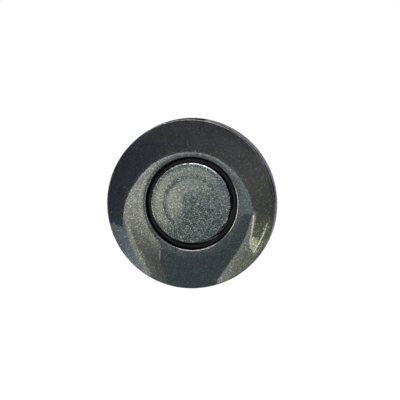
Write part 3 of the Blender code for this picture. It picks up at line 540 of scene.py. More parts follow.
def makeBezel(size):
    soft = size["smallFillet"]
    profile = roundedPath([
        (size["groove"], size["faceY"] + size["grooveDrop"], 0.05),
        (size["groove"] + size["grooveChamfer"], size["faceY"], 0.02),
        *dishProfile(size),
        (size["rimFront"], size["rimFrontY"], size["rimFillet"]),
        (*size["rimMiddle"], 0),
        (size["rimBack"], size["rimBackY"], soft),
        (size["rimBore"], size["rimBackY"], soft),
        (size["rimBore"], size["seatY"], soft),
        (size["sleeve"], size["seatY"], soft),
        (size["sleeve"], size["endY"] - size["endChamfer"], soft),
        (size["sleeve"] - size["endChamfer"], size["endY"], soft),
        (size["sleeveBore"], size["endY"], soft),
        (size["sleeveBore"], size["pocketY"], soft),
        (size["collar"], size["pocketY"], soft),
        (size["collar"], size["collarEndY"], soft),
        (size["groove"], size["collarEndY"], soft),
    ])
    piece = revolve("dished_bezel", profile, turns=288)
    cutters = [turnedBy(block(name, low, high), side + turn)
               for side in (0, 180) for name, (low, high, turn) in size["sideCuts"].items()]
    low, high, turn = size["keyNotch"]
    cutters.append(turnedBy(block("keyNotch", low, high), turn))
    combine(piece, cutters, "DIFFERENCE")
    return place(piece, [bezelPaint, blackPlastic], ["bezel_ring"])


def paintWhere(piece, test):
    # Material 0 on the faces whose middle passes the test, material 1 on the rest
    mesh = piece.data
    middles = np.empty(len(mesh.polygons) * 3)
    mesh.polygons.foreach_get("center", middles)
    x, y, z = middles.reshape(-1, 3).T / mm
    bare = np.where(test(np.hypot(x, z), y), 0, 1)
    mesh.polygons.foreach_set("material_index", bare.astype(np.int32))
    mesh.update()


def onBezelFace(r, y):
    return (y < bezel["paintTo"]) | ((r > bezel["rimFront"]) & (y < bezel["wrapTo"]))


paintWhere(makeBezel(bezel), onBezelFace)
print("bezel made")

# Painted membrane: the front of the aluminium can, with a very shallow relief turned into it
membrane = {
    "radius": 7.05, "offset": (-0.09, 0.09), "offsetY": (1.4, 1.9), "collar": 8.0,
    "faceY": -2.096, "chamfer": 0.18, "chamferDrop": 0.126, "collarY": 2.0, "collarEndY": 4.0,
    "backY": 4.65, "pocket": (5.9, 4.7), "pocketY": -1.296,
    "paintTo": 1.2, "paintOver": 6.8, "paintFrontY": -1.6,
    "reliefRadii": (0, 1.4, 2.2, 4.0, 4.4, 4.8, 5.1, 6.0, 6.6),
    "reliefSlopes": (0, 0.75, 1.5, 2.2, 0.75, 0.75, 2.0, 2.2, 1.3),
    # the pocket's mouth is flared and its floor rounded: how much wider, and how far from the end
    "mouth": ((0.2, 0), (0.05, -0.05), (0, -0.2)), "floor": ((0, 0.3), (-0.1, 0.1), (-0.3, 0)),
}


def smoothStep(value, low, high):
    # 0 below low, 1 above high, and t t (3 - 2 t) between them
    t = np.clip((value - low) / (high - low), 0, 1)
    return t * t * (3 - 2 * t)


def reliefProfile(size, count=90):
    # The face's slope at each radius, in degrees; its height is the slope's running sum, counted
    # from the outer edge inwards
    radius = np.linspace(0, size["radius"] - size["chamfer"] - 0.05, count)
    slope = np.interp(radius, size["reliefRadii"], size["reliefSlopes"])
    steps = np.tan(np.radians(slope)) * np.gradient(radius)
    depth = np.cumsum(steps[::-1])[::-1]
    return [(r, size["faceY"] + d, 0) for r, d in zip(radius, depth)]


def makeMembrane(size):
    inner = roundedPath([
        *reliefProfile(size),
        (size["radius"] - size["chamfer"], size["faceY"], 0.02),
        (size["radius"], size["faceY"] + size["chamferDrop"], 0.05),
        (size["radius"], size["collarY"], 0.1),
        (size["collar"], size["collarY"], 0.15),
        (size["collar"], size["collarEndY"], 0.15),
        (size["radius"], size["collarEndY"], 0.1),
        (size["radius"], size["backY"], 0.15),
    ])
    rows = [(r, r, r, y) for r, y in np.maximum(inner, [1e-6, -99])]
    a, b = size["pocket"]
    for end, steps in (("backY", size["mouth"]), ("pocketY", size["floor"])):
        rows += [(a + grow, b + grow, -1, size[end] + step) for grow, step in steps]
    rows.append((1e-6, 1e-6, -1, size["pocketY"]))
    piece = loft("painted_membrane", rows, evenAngles(256), closed=False)
    # The face sits a little off the middle of its soft ring
    points = pointsOf(piece)
    share = smoothStep(-points[:, 1] / mm, *size["offsetY"])
    points[:, [0, 2]] += share[:, None] * np.array(size["offset"]) * mm
    setPoints(piece, points)
    place(piece, [membranePaint, aluminium], ["membrane_can"])
    paintWhere(piece, onMembraneFace)


def onMembraneFace(r, y):
    # The front and the outer wall, not the pocket behind the face
    outside = (r > membrane["paintOver"]) | (y < membrane["paintFrontY"])
    return (y < membrane["paintTo"]) & outside


makeMembrane(membrane)

# Silicone ring in the groove, its lip a little below the painted faces
siliconeRing = {"inner": 7.25, "nose": 7.95, "body": 8.9, "recess": 8.25, "noseY": -1.096,
                "stepY": 0.85, "backY": 4.95, "recessY": 1.75, "recessEndY": 4.25}


def makeSiliconeRing(size):
    profile = roundedPath([
        (size["inner"], size["noseY"], 0.18), (size["nose"], size["noseY"], 0.18),
        (size["nose"], size["stepY"], 0.1), (size["body"], size["stepY"], 0.2),
        (size["body"], size["backY"], 0.2), (size["inner"], size["backY"], 0.2),
        (size["inner"], size["recessEndY"], 0.1), (size["recess"], size["recessEndY"], 0.1),
        (size["recess"], size["recessY"], 0.1), (size["inner"], size["recessY"], 0.1),
    ])
    return place(revolve("groove_silicone", profile, turns=200), silicone, ["decoupling_ring"])


makeSiliconeRing(siliconeRing)

# Gasket behind the rim: a flat rubber ring with two sealing beads on the side of the bumper
gasket = {"inner": 11.95, "outer": 13.65, "frontY": -1.0,
          "bead": 0.16, "beads": (12.35, 13.2), "beadWidth": 0.22}


def makeGasket(size):
    # y = -bead x (1 - sum of bells), a bell at each bead's radius
    radius = np.linspace(size["inner"] + 0.12, size["outer"] - 0.12, 40)
    bells = sum(np.exp(-((radius - middle) / size["beadWidth"]) ** 2) for middle in size["beads"])
    back = [(r, y, 0) for r, y in zip(radius, -size["bead"] * (1 - bells))]
    profile = roundedPath([
        (size["outer"], size["frontY"], 0.12), (size["inner"], size["frontY"], 0.12),
        (size["inner"], -size["bead"], 0.08), *back[1:-1], (size["outer"], -size["bead"], 0.08),
    ])
    return place(revolve("bumper_seat_gasket", profile, turns=200), rubber, ["bumper_gasket"])


makeGasket(gasket)
print("front pieces made")

# Spring leaves: bent strips, rounded along their edges
leaf = {"thickness": 0.35, "halfWidth": 2.5, "edge": 0.12, "bend": 0.4,
        "path": ((10.65, 9.875), (11.525, 9.875), (11.525, 8.475), (13.5, 4.4), (12.1, 3.0))}


def roundedBar(halfWidth, halfHeight, fillet, steps=5):
    corners = [(-halfWidth, -halfHeight, fillet), (halfWidth, -halfHeight, fillet),
               (halfWidth, halfHeight, fillet), (-halfWidth, halfHeight, fillet)]
    return roundedPath(corners, steps)


def makeLeaf(name, node, degrees, size):
    bends = [0] + [size["bend"]] * (len(size["path"]) - 2) + [0]
    path = roundedPath([(r, y, bend) for (r, y), bend in zip(size["path"], bends)], steps=10)
    section = roundedBar(size["halfWidth"], size["thickness"] / 2, size["edge"])
    piece = turnedBy(sweep(name, path, section), degrees)
    return place(piece, springSteel, [node], sharp=50)


makeLeaf("spring_leaf_right", "spring_clip_right", 0, leaf)
makeLeaf("spring_leaf_left", "spring_clip_left", 180, leaf)

# Barrel: bore, stop collar and rear chamber, with snap lugs, a key and grip ribs raised on it
barrel = {
    "bore": 9.15, "outer": 10.15, "stop": 11.3, "rear": 10.75, "ledge": 7.4,
    "frontY": -0.646, "stopY": 11.25, "stopEndY": 13.0, "backY": 17.4, "ledgeY": 7.25, "ledgeEndY": 8.25,
    "lugHalf": 2.5, "lugHeight": 1.25, "lugY": (6.25, 7.95, 8.75, 8.8),
    "ribs": 12, "ribHalf": 0.6, "ribHeight": 0.45, "ribEndY": 17.1,
    "keyHalf": 0.85, "keyHeight": 1.0, "keyY": 8.25, "keyAngle": -45, "edge": 0.08,
}


def splitRuns(profile, longest=0.45):
    # More points along the long runs, so that a relief has rows to work on
    parts = []
    for first, second in zip(profile, np.roll(profile, -1, axis=0)):
        count = max(1, math.ceil(np.linalg.norm(second - first) / longest))
        parts.append(first + (second - first) * np.arange(count)[:, None] / count)
    return np.vstack(parts)


def anglesFor(features, count=192):
    # Even angles, and closer ones at the sides of each feature (degrees, half width, radius)
    angles = [evenAngles(count)]
    for degrees, half, radius in features:
        sides = np.arcsin(np.array([half - 0.16, half - 0.08, half, half + 0.08, half + 0.12]) / radius)
        angles += [math.radians(degrees) + sides, math.radians(degrees) - sides]
    return np.unique(np.round(np.concatenate(angles) % (2 * np.pi), 4))


def raisedPad(angles, degrees, half, top, base, edge):
    # How far a pad stands out: its top is a plane across the radius, at distance top, and it
    # falls off over the edge's width on both sides
    away = (angles - math.radians(degrees) + np.pi) % (2 * np.pi) - np.pi
    facing = np.maximum(np.cos(away), 0.2)
    reach = np.abs(base * np.sin(away))
    inside = (1 - smoothStep(reach, half - edge, half + edge)) * (np.cos(away) > 0)
    return inside * (top / facing - base)


def makeBarrel(size):
    soft = 0.12
    profile = splitRuns(roundedPath([
        (size["bore"], size["frontY"], 0.1), (size["outer"] - 0.25, size["frontY"], 0.08),
        (size["outer"], size["frontY"] + 0.25, 0.08), *((size["outer"], y, 0) for y in size["lugY"]),
        (size["outer"], size["stopY"], 0.06), (size["stop"], size["stopY"], soft),
        (size["stop"], size["stopEndY"], soft), (size["rear"], size["stopEndY"], 0.06),
        (size["rear"], size["ribEndY"] - 0.15, 0), (size["rear"], size["ribEndY"], 0),
        (size["rear"], size["backY"], soft), (size["bore"], size["backY"], soft),
        (size["bore"], size["ledgeEndY"], 0.1), (size["ledge"], size["ledgeEndY"], 0.1),
        (size["ledge"], size["ledgeY"], 0.1), (size["bore"], size["ledgeY"], 0.1),
    ]))
    radius, y = profile.T
    ribAngles = [360 * index / size["ribs"] for index in range(size["ribs"])]
    angles = anglesFor(
        [(degrees, size["ribHalf"], size["rear"]) for degrees in ribAngles]
        + [(degrees, size["lugHalf"], size["outer"]) for degrees in (90, 270)]
        + [(size["keyAngle"], size["keyHalf"], size["outer"])])
    relief = np.zeros((len(radius), len(angles)))
    front = (np.abs(radius - size["outer"]) < 0.01) & (y < size["stopY"])
    rise = np.interp(y, size["lugY"], (0, size["lugHeight"], size["lugHeight"], 0))
    for degrees in (90, 270):
        for row in np.flatnonzero(front & (rise > 0)):
            relief[row] += raisedPad(angles, degrees, size["lugHalf"], size["outer"] + rise[row],
                                     size["outer"], size["edge"])
    keyPad = raisedPad(angles, size["keyAngle"], size["keyHalf"], size["outer"] + size["keyHeight"],
                       size["outer"], size["edge"])
    relief[front & (y > size["keyY"])] += keyPad
    onRear = (np.abs(radius - size["rear"]) < 0.01) & (y > size["stopEndY"])
    envelope = 1 - smoothStep(y, size["ribEndY"] - 0.15, size["ribEndY"])
    for degrees in ribAngles:
        pad = raisedPad(angles, degrees, size["ribHalf"], size["rear"] + size["ribHeight"],
                        size["rear"], size["edge"])
        relief += np.outer(onRear * envelope, pad)
    rows = np.stack([radius, radius, radius, y], 1)
    piece = loft("barrel_moulding", rows, angles, relief)
    return place(piece, blackPlastic, ["sensor_housing"])


makeBarrel(barrel)
print("barrel made")

# Rear cover: the plug socket, its plate and the spigot in one surface, from the middle of the
# socket's floor outwards and round to the front of the plate
cover = {
    "inner": (5.45, 3.45, 1.2), "wall": 1.3, "floorY": 19.15, "mouthY": 31.15, "lip": 0.18,
    "floorFillet": 0.2, "rootFillet": 0.4, "plate": 10.75, "plateY": 17.65,
    "spigot": 8.9, "spigotBore": 7.4, "spigotY": 15.65, "seal": 8.0, "sealY": (16.25, 17.4),
    "sunk": 0.65, "gussetZ": (-2.3, 2.3), "gussetHalf": 0.5, "gussetReach": 10.15,
    "gussetRise": 2.6, "gussetDepth": 0.75, "gussetEdge": 0.1,
    "noseEnd": 2.6, "noseLength": 2.4, "noseSlope": 1.68, "noseHeight": 1.1, "noseHalf": 2.0,
    "noseEdge": 0.12, "keySlotX": (-2.8, 2.8), "keySlotHalf": 0.8, "keySlotDepth": 8,
    "pinX": (-2.54, 0, 2.54), "passageHalf": 0.57, "passageY": (17.4, 19.4),
}


def squareRow(grow, y, inner=cover["inner"]):
    return [inner[0] + grow, inner[1] + grow, inner[2] + grow, y]


def roundRow(radius, y):
    return [radius, radius, radius, y]


def prism(name, outline, half, offset=0.0):
    # A flat outline (radius, y) given a width across, its middle at the offset
    outline = np.asarray(outline, float)
    count = len(outline)
    sides = np.array([offset - half, offset + half])
    points = np.concatenate([np.column_stack([outline, np.full(count, z)]) for z in sides]) * mm
    j = np.arange(count)
    walls = np.stack([j, (j + 1) % count, (j + 1) % count + count, j + count], 1).tolist()
    return newMesh(name, points, walls + [list(range(count)), list(range(count, 2 * count))])


def makeCover(size):
    # Rows of the surface in order; each rounded edge is a quarter circle of rows
    wall, lip, floorY, mouthY = size["wall"], size["lip"], size["floorY"], size["mouthY"]
    inside, root = size["floorFillet"], size["rootFillet"]
    quarter = [(math.cos(a), math.sin(a)) for a in np.linspace(0, np.pi / 2, 7)]
    rows = [roundRow(1e-6, floorY), squareRow(-0.8, floorY), squareRow(-0.25, floorY)]
    rows += [squareRow(inside * (s - 1), floorY + inside * (1 - c)) for c, s in quarter]
    rows += [squareRow(0, floorY + 0.5), squareRow(0, mouthY - lip - 0.1)]
    rows += [squareRow(lip * (1 - c), mouthY - lip * (1 - s)) for c, s in quarter]
    rows += [squareRow(wall - lip * (1 - s), mouthY - lip * (1 - c)) for c, s in quarter]
    rows += [squareRow(wall, mouthY - lip - 0.1), squareRow(wall, floorY + 0.6)]
    rows += [squareRow(wall + root * (1 - c), floorY + root * (1 - s)) for c, s in quarter]
    rows += [squareRow(wall + 0.45, floorY)]
    rows += [roundRow(r, y) for r, y in roundedPath([
        (10.3, floorY, 0), (size["plate"], floorY, 0.25), (size["plate"], size["plateY"], 0.1),
        (size["spigot"], size["plateY"], 0.05), (size["spigot"], size["sealY"][1], 0.05),
        (size["seal"], size["sealY"][1], 0.05), (size["seal"], size["sealY"][0], 0.05),
        (size["spigot"], size["sealY"][0], 0.05), (size["spigot"], size["spigotY"], 0.2),
        (size["spigotBore"], size["spigotY"], 0.1), (size["spigotBore"], size["plateY"], 0.1),
        (4.0, size["plateY"], 0),
    ], steps=5)]
    rows.append(roundRow(1e-6, size["plateY"]))
    piece = loft("plug_socket_moulding", rows, evenAngles(256), closed=False)
    combine(piece, [*makeGussets(size), makeLatchNose(size)], "UNION")
    top, slot, passage = size["inner"][1] + wall + 1, size["keySlotHalf"], size["passageHalf"]
    cutters = [block("keySlot", (x - slot, mouthY - size["keySlotDepth"], 0), (x + slot, mouthY + 0.5, top))
               for x in size["keySlotX"]]
    startY, endY = size["passageY"]
    cutters += [block("pinPassage", (x - passage, startY, -passage), (x + passage, endY, passage))
                for x in size["pinX"]]
    combine(piece, cutters, "DIFFERENCE")
    return place(piece, socketPlastic, ["rear_cover"])


def makeGussets(size):
    # Four ribs that brace the socket's side walls on the plate, sunk a little into both
    side, floorY = size["inner"][0] + size["wall"], size["floorY"]
    inner, base, rise = side - size["sunk"], floorY - size["gussetDepth"], floorY + size["gussetRise"]
    reach = size["gussetReach"]
    outline = [(inner, base), (reach, base), (reach, floorY), (side, rise), (inner, rise)]
    return [turnedBy(breakEdges(prism("gusset", outline, size["gussetHalf"], z), size["gussetEdge"]), turn)
            for turn in (0, 180) for z in size["gussetZ"]]


def makeLatchNose(size):
    # The plug's latch rides up its slope and drops behind its back
    wall = size["inner"][1] + size["wall"]
    low, high = wall - size["sunk"], wall + size["noseHeight"]
    end = size["mouthY"] - size["noseEnd"]
    back, slope = end - size["noseLength"], end - size["noseSlope"]
    outline = [(low, back), (high, back), (high, slope), (wall, end), (low, end)]
    return turnedBy(breakEdges(prism("latchNose", outline, size["noseHalf"]), size["noseEdge"]), 270)


makeCover(cover)

# Contact pins: square wire with broken corners and a tapered tip
pin = {"half": 0.32, "edge": 0.06, "pitch": 2.54, "startY": 7.9, "endY": 25.15,
       "chamfer": 0.08, "tip": 0.6, "point": 0.06, "shares": (0.8, 1, 1, 0.52, 0.4)}


def makePin(index, size):
    # Its width follows the shares at its start, chamfer, tip, point and end
    start, end = size["startY"], size["endY"]
    marks = [start, start + size["chamfer"], end - size["tip"], end - size["point"], end]
    y = np.array([*marks[:2], *np.linspace(start + 0.5, marks[2], 12), end - 0.2, *marks[3:]])
    x = np.full(len(y), (index - 2) * size["pitch"])
    section = roundedBar(size["half"], size["half"], size["edge"])
    path = np.stack([x, y], 1)
    piece = sweep(f"tinned_pin_{index}", path, section, np.interp(y, marks, size["shares"]))
    return place(piece, tin, [f"contact_pin_{index}"])


for number in (1, 2, 3):
    makePin(number, pin)
print("rear pieces made")

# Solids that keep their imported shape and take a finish: everything that is sealed inside

def placesRound(radius, turns):
    # (x, z, degrees) of small parts that stand round the board at one radius
    angles = np.radians(turns)
    return list(zip((radius * np.cos(angles)).tolist(), (radius * np.sin(angles)).tolist(), turns))


insideFinishes = {
    "piezo_disc": makeCeramic("silveredCeramic"),
    "damping_felt": makeFibrous("greyFelt", (0.24, 0.24, 0.23), 0.12),
    "can_filler": makeFibrous("siliconeFoam", (0.58, 0.58, 0.55), 0.35),
    "lead_signal": makeMoulded("redWireJacket", (0.42, 0.018, 0.015), 0.35, grain=0.3, depth=0.002),
    "lead_ground": makeMoulded("blackWireJacket", (0.018, 0.018, 0.018), 0.35, grain=0.3, depth=0.002),
    "carrier_ring": whitePlastic,
    "circuit_board": makeBoard("greenBoard"),
    "transformer_core": makeMoulded("ferriteCore", (0.030, 0.030, 0.032), 0.55, grain=0.08, depth=0.008),
    "transformer_winding": makeWinding("enamelledCopper"),
    "filter_capacitor": makeMetal("capacitorCan", (0.70, 0.70, 0.71), 0.30, 0.1, stretch=(1, 6, 1)),
    "control_chip": makeCapped("chipBlack", (0.014, 0.014, 0.014), 0.55, [(0.0, -5.0, 0)], 2.02, 0.6),
    "cover_seal": rubber,
}
ceramicBrown = makeCapped("capacitorBrown", (0.30, 0.19, 0.10), 0.45,
                          placesRound(7.2, (15, 345, 318)), 1.15, 0.45)
filmBlack = makeCapped("resistorBlack", (0.018, 0.018, 0.02), 0.35,
                       placesRound(7.375, (188, 206, 224)), 0.7, 0.3)
for number in (1, 2, 3):
    insideFinishes[f"capacitor_{number}"] = ceramicBrown
    insideFinishes[f"resistor_{number}"] = filmBlack
for node, material in insideFinishes.items():
    cadNodes[node].data.materials.clear()
    cadNodes[node].data.materials.append(material)
print("inside finished")

# Studio: a pale floor well below the hanging part, a key lamp, a weaker lamp behind, and plain
# boards that only reflections show
studio = {
    "cameraTurn": 9.0, "cameraRise": 4.5, "distance": 400.0, "view": 70.15, "aim": (1.54, 0.65),
    "aimY": -2.1, "floorZ": -60.0, "floorSize": 6000.0, "boardY": -1500.0, "boardStep": 4.0,
    "widestTilt": 26.0, "worldLevel": 0.5, "floorColor": (0.885, 0.91, 0.94),
}
lamps = {
    # name: turn and rise seen from the part, width of the light in degrees, strength, colour
    "keyLamp": (6, 58, 26, 1.8, (1.0, 0.95, 0.88)),
    "rearLamp": (205, 38, 30, 0.9, (0.97, 0.98, 1.0)),
}
# Three kinds of board: the table, boards set out by tilt, and side boards set out by place. A
# tilt is the one of the painted face that mirrors the point, in degrees, to the right and
# upwards, and a colour is its brightness too.
table = [
    # all round below the window: direction of the tilt, tilt of the near edge, colour
    (20, 14.9, (0.05, 0.08, 0.10)), (10, 12.9, (0.04, 0.07, 0.09)), (0, 11.2, (0.04, 0.07, 0.09)),
    (-12, 8.9, (0.045, 0.065, 0.085)), (-29, 6.4, (0.05, 0.06, 0.08)),
    (-44, 5.0, (0.065, 0.075, 0.095)), (-60, 3.8, (0.095, 0.10, 0.12)),
    (-90, 2.7, (0.14, 0.145, 0.155)), (-120, 3.1, (0.185, 0.195, 0.19)),
    (-150, 5.0, (0.235, 0.24, 0.215)), (-168, 6.8, (0.215, 0.23, 0.175)),
    (-180, 8.3, (0.165, 0.185, 0.13)), (-187, 9.7, (0.165, 0.185, 0.13)), (-190, 24.0, (0.18, 0.20, 0.15)),
]
boards = {
    # colour, then corners as tilts, some with a share of the brightness
    "sillBoard": ((1.25, 1.35, 1.25), (
        (-3, -2.7, 0.65), (-1.6, -2.7, 0.85), (0, -2.75, 1.0), (1.9, -3.3, 1.2), (3.6, -3.5, 1.3),
        (5.6, -3.1, 1.3), (7, -2.5), (6, -1.5, 0.95), (1.2, -1.6, 0.8), (-3, -1.5, 0.6))),
    "wallBoard": ((0.50, 0.62, 0.62), (
        (-9.6, 1.2), (-8.3, 0), (-6.6, -1.4, 1.1), (-4.3, -2.5, 1.3), (-3, -2.7, 1.3), (-3, -1.5),
        (1.2, -1.6, 0.6), (1.2, 0.4, 0.5), (-4, 0.7), (-9, 1.3))),
    "middleLow": ((0.21, 0.275, 0.275), (
        (-9.2, 1.3, 0.8), (-4, 0.7, 0.85), (1.2, 0.4, 1.05), (2.6, 3.8, 0.9), (-8.9, 3.8, 0.6))),
    "middleBoard": ((0.115, 0.165, 0.175), (
        (-8.9, 3.8), (2.6, 3.8, 1.1), (5.2, 9.5, 1.1), (6.2, 25), (-6.2, 25), (-7.5, 14.5))),
    "middleRight": ((0.40, 0.44, 0.38), (
        (4.4, 7, 0.7), (10, 7.6, 1.2), (10, 25, 0.6), (6.2, 25, 0.35), (5.2, 9.5, 0.6))),
    "rightUpper": ((0.62, 0.68, 0.54), ((2.6, 3.8, 0.8), (10, 4, 0.95), (10, 7.6, 0.78), (4.4, 7, 0.55))),
    "rightPanel": ((1.10, 1.20, 0.96), (
        (1.2, -1.6), (6, -1.5, 1.2), (7, -2.5, 1.3), (8.6, -1.9, 1.3), (10.5, -0.6, 1.3),
        (10.5, 4, 0.9), (2.6, 3.8, 0.6), (1.4, 1.6, 0.8))),
    "rightEdge": ((2.2, 2.3, 1.75), (
        (1.5, -1.8, 0.65), (3.4, -1.8, 0.85), (3.9, 1.2, 0.7), (1.8, 1.6, 0.5))),
    "rightBand": ((1.30, 1.30, 0.92), (
        (10.1, -0.8), (11.2, 0.1), (12.7, 2.3), (12.4, 16, 0.8), (10.4, 15, 0.8))),
    "rightWall": ((0.55, 0.74, 0.82), (
        (12.4, 2.4, 0.7), (14, 5, 0.75), (25, 5, 0.4), (25, 25, 0.6), (12.1, 25), (12.1, 16, 1.1))),
    "leftBand": ((0.85, 0.92, 0.75), (
        (-11, 1.3), (-9.3, 0.8), (-8.4, 2.4, 1.15), (-8.1, 5.2), (-7.2, 14.5, 0.7), (-6.2, 25, 1.5),
        (-9, 25, 1.5), (-11, 12.6, 0.65))),
    "leftLow": ((0.44, 0.48, 0.33), (
        (-25, 4.0, 0.6), (-11, 1.2, 0.5), (-11, 7.2, 1.1), (-14.6, 11.5, 1.1), (-18.6, 9.3),
        (-25, 5.2, 0.8))),
    "leftWall": ((0.75, 0.82, 0.64), (
        (-25, 5.2), (-18.6, 9.3), (-14.6, 11.5, 0.75), (-11, 7.2, 0.7), (-11, 12.6, 0.65),
        (-9, 25, 1.4), (-25, 25, 1.2))),
    "strokeOuter": ((4.0, 4.2, 2.95), ((-19.0, 4.4, 0.6), (-17.9, 4.4, 0.6), (-14.6, 10.9), (-15.9, 11.7))),
    "strokeMiddle": ((3.0, 3.1, 2.15), (
        (-15.9, 10.4, 0.6), (-15.2, 11.2, 0.7), (-12.4, 8.8), (-11.0, 6.4, 0.7), (-12.2, 6.2, 0.9),
        (-14.8, 7.5, 0.6), (-15.4, 9.4, 0.6))),
    "strokeInner": ((3.2, 3.3, 2.35), (
        (-12.1, 7.6, 0.55), (-11.15, 7.4, 0.65), (-9.25, 1.6), (-10.0, 1.4))),
    "rimDark": ((0.05, 0.05, 0.05), (
        (-18.9, -6.7), (-20.1, 0), (-19.6, 5.2), (-16.7, 12.6), (-10.6, 18.4), (-13, 22.5), (-22, 16),
        (-25.5, 7), (-26, 0), (-24, -9))),
}
sideBoards = {
    # colour, the axis that the board stands across and its place there in millimetres, then
    # corners along the two other axes
    "rearDark": ((0.01, 0.01, 0.013), "y", 200, ((-90, -90), (140, -90), (140, 90), (-90, 90))),
    "rearPale": ((0.36, 0.33, 0.40), "y", 199, (
        (12, 45), (-20, 48), (-20, 68), (25, 73), (44, 62), (65, 40), (71, 20), (71, -22), (60, -40),
        (38, -55), (13, -60), (-5, -58), (-5, -30), (12, -30))),
    "rightDark": ((0.05, 0.05, 0.06), "x", 900, ((-900, -500), (500, -500), (500, 500), (-900, 500))),
    "rightGlow": ((0.65, 0.9, 1.2), "x", 899, (
        (-1330, -700), (-1130, -700), (-940, 0), (-1130, 560), (-1330, 560), (-1090, 0))),
    "leftGlow": ((3.6, 3.5, 2.9), "x", -900, (
        (-640, -340), (-500, -340), (-470, 0), (-620, 560), (-760, 560), (-590, 0))),
    "leftDark": ((0.3, 0.3, 0.3), "x", -905, ((-450, -900), (400, -900), (400, 900), (-450, 900))),
    "lowDark": ((0.12, 0.12, 0.13), "z", -900, ((-1700, -1400), (1100, -1400), (1100, 100), (-1700, 100))),
    "topGlow": ((3.1, 3.3, 3.6), "z", 900, ((-900, -1050), (50, -1050), (50, -740), (-900, -740))),
    "topWindow": ((4.6, 4.6, 5.0), "z", 900, (
        (-150, -340), (250, -380), (640, -500), (640, -740), (250, -620), (-150, -540))),
    "topWarm": ((8, 5.2, 3.8), "z", 900, ((-45, -300), (250, -330), (250, -40), (-45, -40))),
    "topCool": ((5.4, 5.6, 5.9), "z", 900, ((-900, -330), (-45, -300), (-45, -40), (-900, -40))),
}


def direction(turn, rise):
    # Unit vector from the part: turn 0 looks out of the painted face, and a positive turn is to
    # the camera's right
    turn, rise = math.radians(turn), math.radians(rise)
    return np.array([math.sin(turn) * math.cos(rise), -math.cos(turn) * math.cos(rise), math.sin(rise)])


toCamera = direction(studio["cameraTurn"], studio["cameraRise"])


def mirroredAt(tiltRight, tiltUp, boardY):
    # Point at this y that the camera sees in the dished face where the face has this tilt. The
    # place on the face is r = groove + R sin a from the axis, and the line leaves it along
    # m = 2 (n . c) n - c, with n the face's normal and c the direction to the camera.
    tilt = math.hypot(tiltRight, tiltUp)
    radius = bezel["groove"] + bezel["dish"] * math.sin(math.radians(tilt))
    start = np.array([-tiltRight, 0, -tiltUp]) * radius / max(tilt, 1.0)
    normal = unit(np.array([math.tan(math.radians(tiltRight)), -1, math.tan(math.radians(tiltUp))]))
    seen = unit(toCamera * studio["distance"] - start)
    ray = 2 * (normal @ seen) * normal - seen
    return start + ray * (boardY - start[1]) / ray[1]


def makeCamera(size):
    # A long lens that takes in the view's width at the part, aimed a little off its face
    camera = bpy.data.objects.new("camera", bpy.data.cameras.new("camera"))
    scene.collection.objects.link(camera)
    across = unit(np.cross(-toCamera, (0, 0, 1)))
    up = np.cross(across, -toCamera)
    target = size["aim"][0] * across + size["aim"][1] * up + np.array([0, size["aimY"], 0])
    camera.location = (target + toCamera * size["distance"]) * mm
    camera.rotation_mode = "QUATERNION"
    camera.rotation_quaternion = Vector(-toCamera).to_track_quat("-Z", "Y")
    camera.data.lens = camera.data.sensor_width * size["distance"] / size["view"]
    camera.data.clip_start, camera.data.clip_end = 0.01, 20
    scene.camera = camera


def makeLamp(name, turn, rise, width, strength, color):
    # An even, far light as wide as a softbox
    lamp = bpy.data.objects.new(name, bpy.data.lights.new(name, "SUN"))
    lamp.data.angle, lamp.data.energy, lamp.data.color = math.radians(width), strength, color
    lamp.rotation_mode = "QUATERNION"
    lamp.rotation_quaternion = Vector(-direction(turn, rise)).to_track_quat("-Z", "Y")
    scene.collection.objects.link(lamp)


def makeGlow():
    # Light of the colour that each card's corners carry
    glow = bpy.data.materials.new("boardGlow")
    glow.use_nodes = True
    tree = glow.node_tree
    tree.nodes.clear()
    carried = tree.nodes.new("ShaderNodeAttribute")
    carried.attribute_name = "glow"
    light = tree.nodes.new("ShaderNodeEmission")
    output = tree.nodes.new("ShaderNodeOutputMaterial")
    tree.links.new(carried.outputs["Color"], light.inputs["Color"])
    tree.links.new(light.outputs[0], output.inputs["Surface"])
    return glow


def makeCard(name, material, points, colors, faces):
    # A flat board that only reflections show, with a colour at each point
    mesh = bpy.data.meshes.new(name)
    mesh.from_pydata((points * mm).tolist(), [], faces)
    carried = mesh.color_attributes.new("glow", "FLOAT_COLOR", "POINT")
    carried.data.foreach_set("color", np.column_stack([colors, np.ones(len(points))]).ravel())
    mesh.materials.append(material)
    card = bpy.data.objects.new(name, mesh)
    scene.collection.objects.link(card)
    card.visible_camera = card.visible_diffuse = card.visible_shadow = False
    card.visible_transmission = card.visible_volume_scatter = False


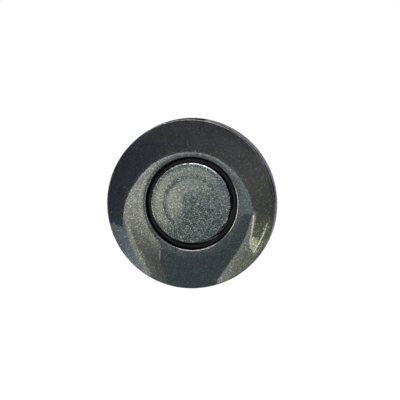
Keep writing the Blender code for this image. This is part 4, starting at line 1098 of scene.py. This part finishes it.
def makeBoards(size):
    # The table is a fan of cards out to the rim's tilt. Each later board hangs a step nearer to
    # the part, so where two overlap, the later one is seen.
    glow, boardY = makeGlow(), size["boardY"]
    turns, near, colors = (np.array(column, float) for column in zip(*table))
    rays = np.stack([np.cos(np.radians(turns)), np.sin(np.radians(turns))], 1)
    tilts = np.concatenate([rays * near[:, None], rays * size["widestTilt"]])
    count = len(table)
    fan = [(i, i + 1, count + i + 1, count + i) for i in range(count - 1)]
    points = np.array([mirroredAt(*tilt, boardY) for tilt in tilts])
    makeCard("tableBoard", glow, points, np.concatenate([colors, colors]), fan)
    for order, (name, (color, corners)) in enumerate(boards.items(), 1):
        nearer = boardY + size["boardStep"] * order
        points = np.array([mirroredAt(*corner[:2], nearer) for corner in corners])
        shares = np.array([[corner[2] if len(corner) > 2 else 1.0] for corner in corners])
        makeCard(name, glow, points, shares * color, [list(range(len(corners)))])
    for name, (color, axis, reach, corners) in sideBoards.items():
        points = np.insert(np.array(corners, float), "xyz".index(axis), reach, axis=1)
        makeCard(name, glow, points, np.tile(color, (len(points), 1)), [list(range(len(points)))])


def seenRays(tree):
    # 1 for camera, glossy and transmission rays, else 0, as the largest of the three
    path = tree.nodes.new("ShaderNodeLightPath")
    total = path.outputs["Is Camera Ray"]
    for name in ("Is Glossy Ray", "Is Transmission Ray"):
        larger = tree.nodes.new("ShaderNodeMath")
        larger.operation = "MAXIMUM"
        tree.links.new(total, larger.inputs[0])
        tree.links.new(path.outputs[name], larger.inputs[1])
        total = larger.outputs[0]
    return total


def makeWorld(size):
    # White where it is seen, and at a lower level where it only lights
    world = bpy.data.worlds.new("studioWorld")
    world.use_nodes = True
    tree = world.node_tree
    level = tree.nodes.new("ShaderNodeMapRange")
    level.inputs["To Min"].default_value = size["worldLevel"]
    level.inputs["To Max"].default_value = 1.0
    tree.links.new(seenRays(tree), level.inputs["Value"])
    tree.links.new(level.outputs["Result"], tree.nodes["Background"].inputs["Strength"])
    tree.nodes["Background"].inputs["Color"].default_value = (1, 1, 1, 1)
    scene.world = world


def makeFloor(size):
    # Matt and pale; reflections pass it by, so that they show the boards and the white world
    half = size["floorSize"] / 2
    points = np.array([(-half, -half, 0), (half, -half, 0), (half, half, 0), (-half, half, 0)])
    floor = newMesh("floor", (points + [0, 0, size["floorZ"]]) * mm, [(0, 1, 2, 3)])
    pale = Finish("paleFloor", size["floorColor"], 1.0, Specular_IOR_Level=0.0)
    floor.data.materials.append(pale.material)
    floor.visible_glossy = False


makeFloor(studio)
makeWorld(studio)
for name, setting in lamps.items():
    makeLamp(name, *setting)
makeBoards(studio)
makeCamera(studio)
scene.view_settings.view_transform = "Standard"
print("studio made")
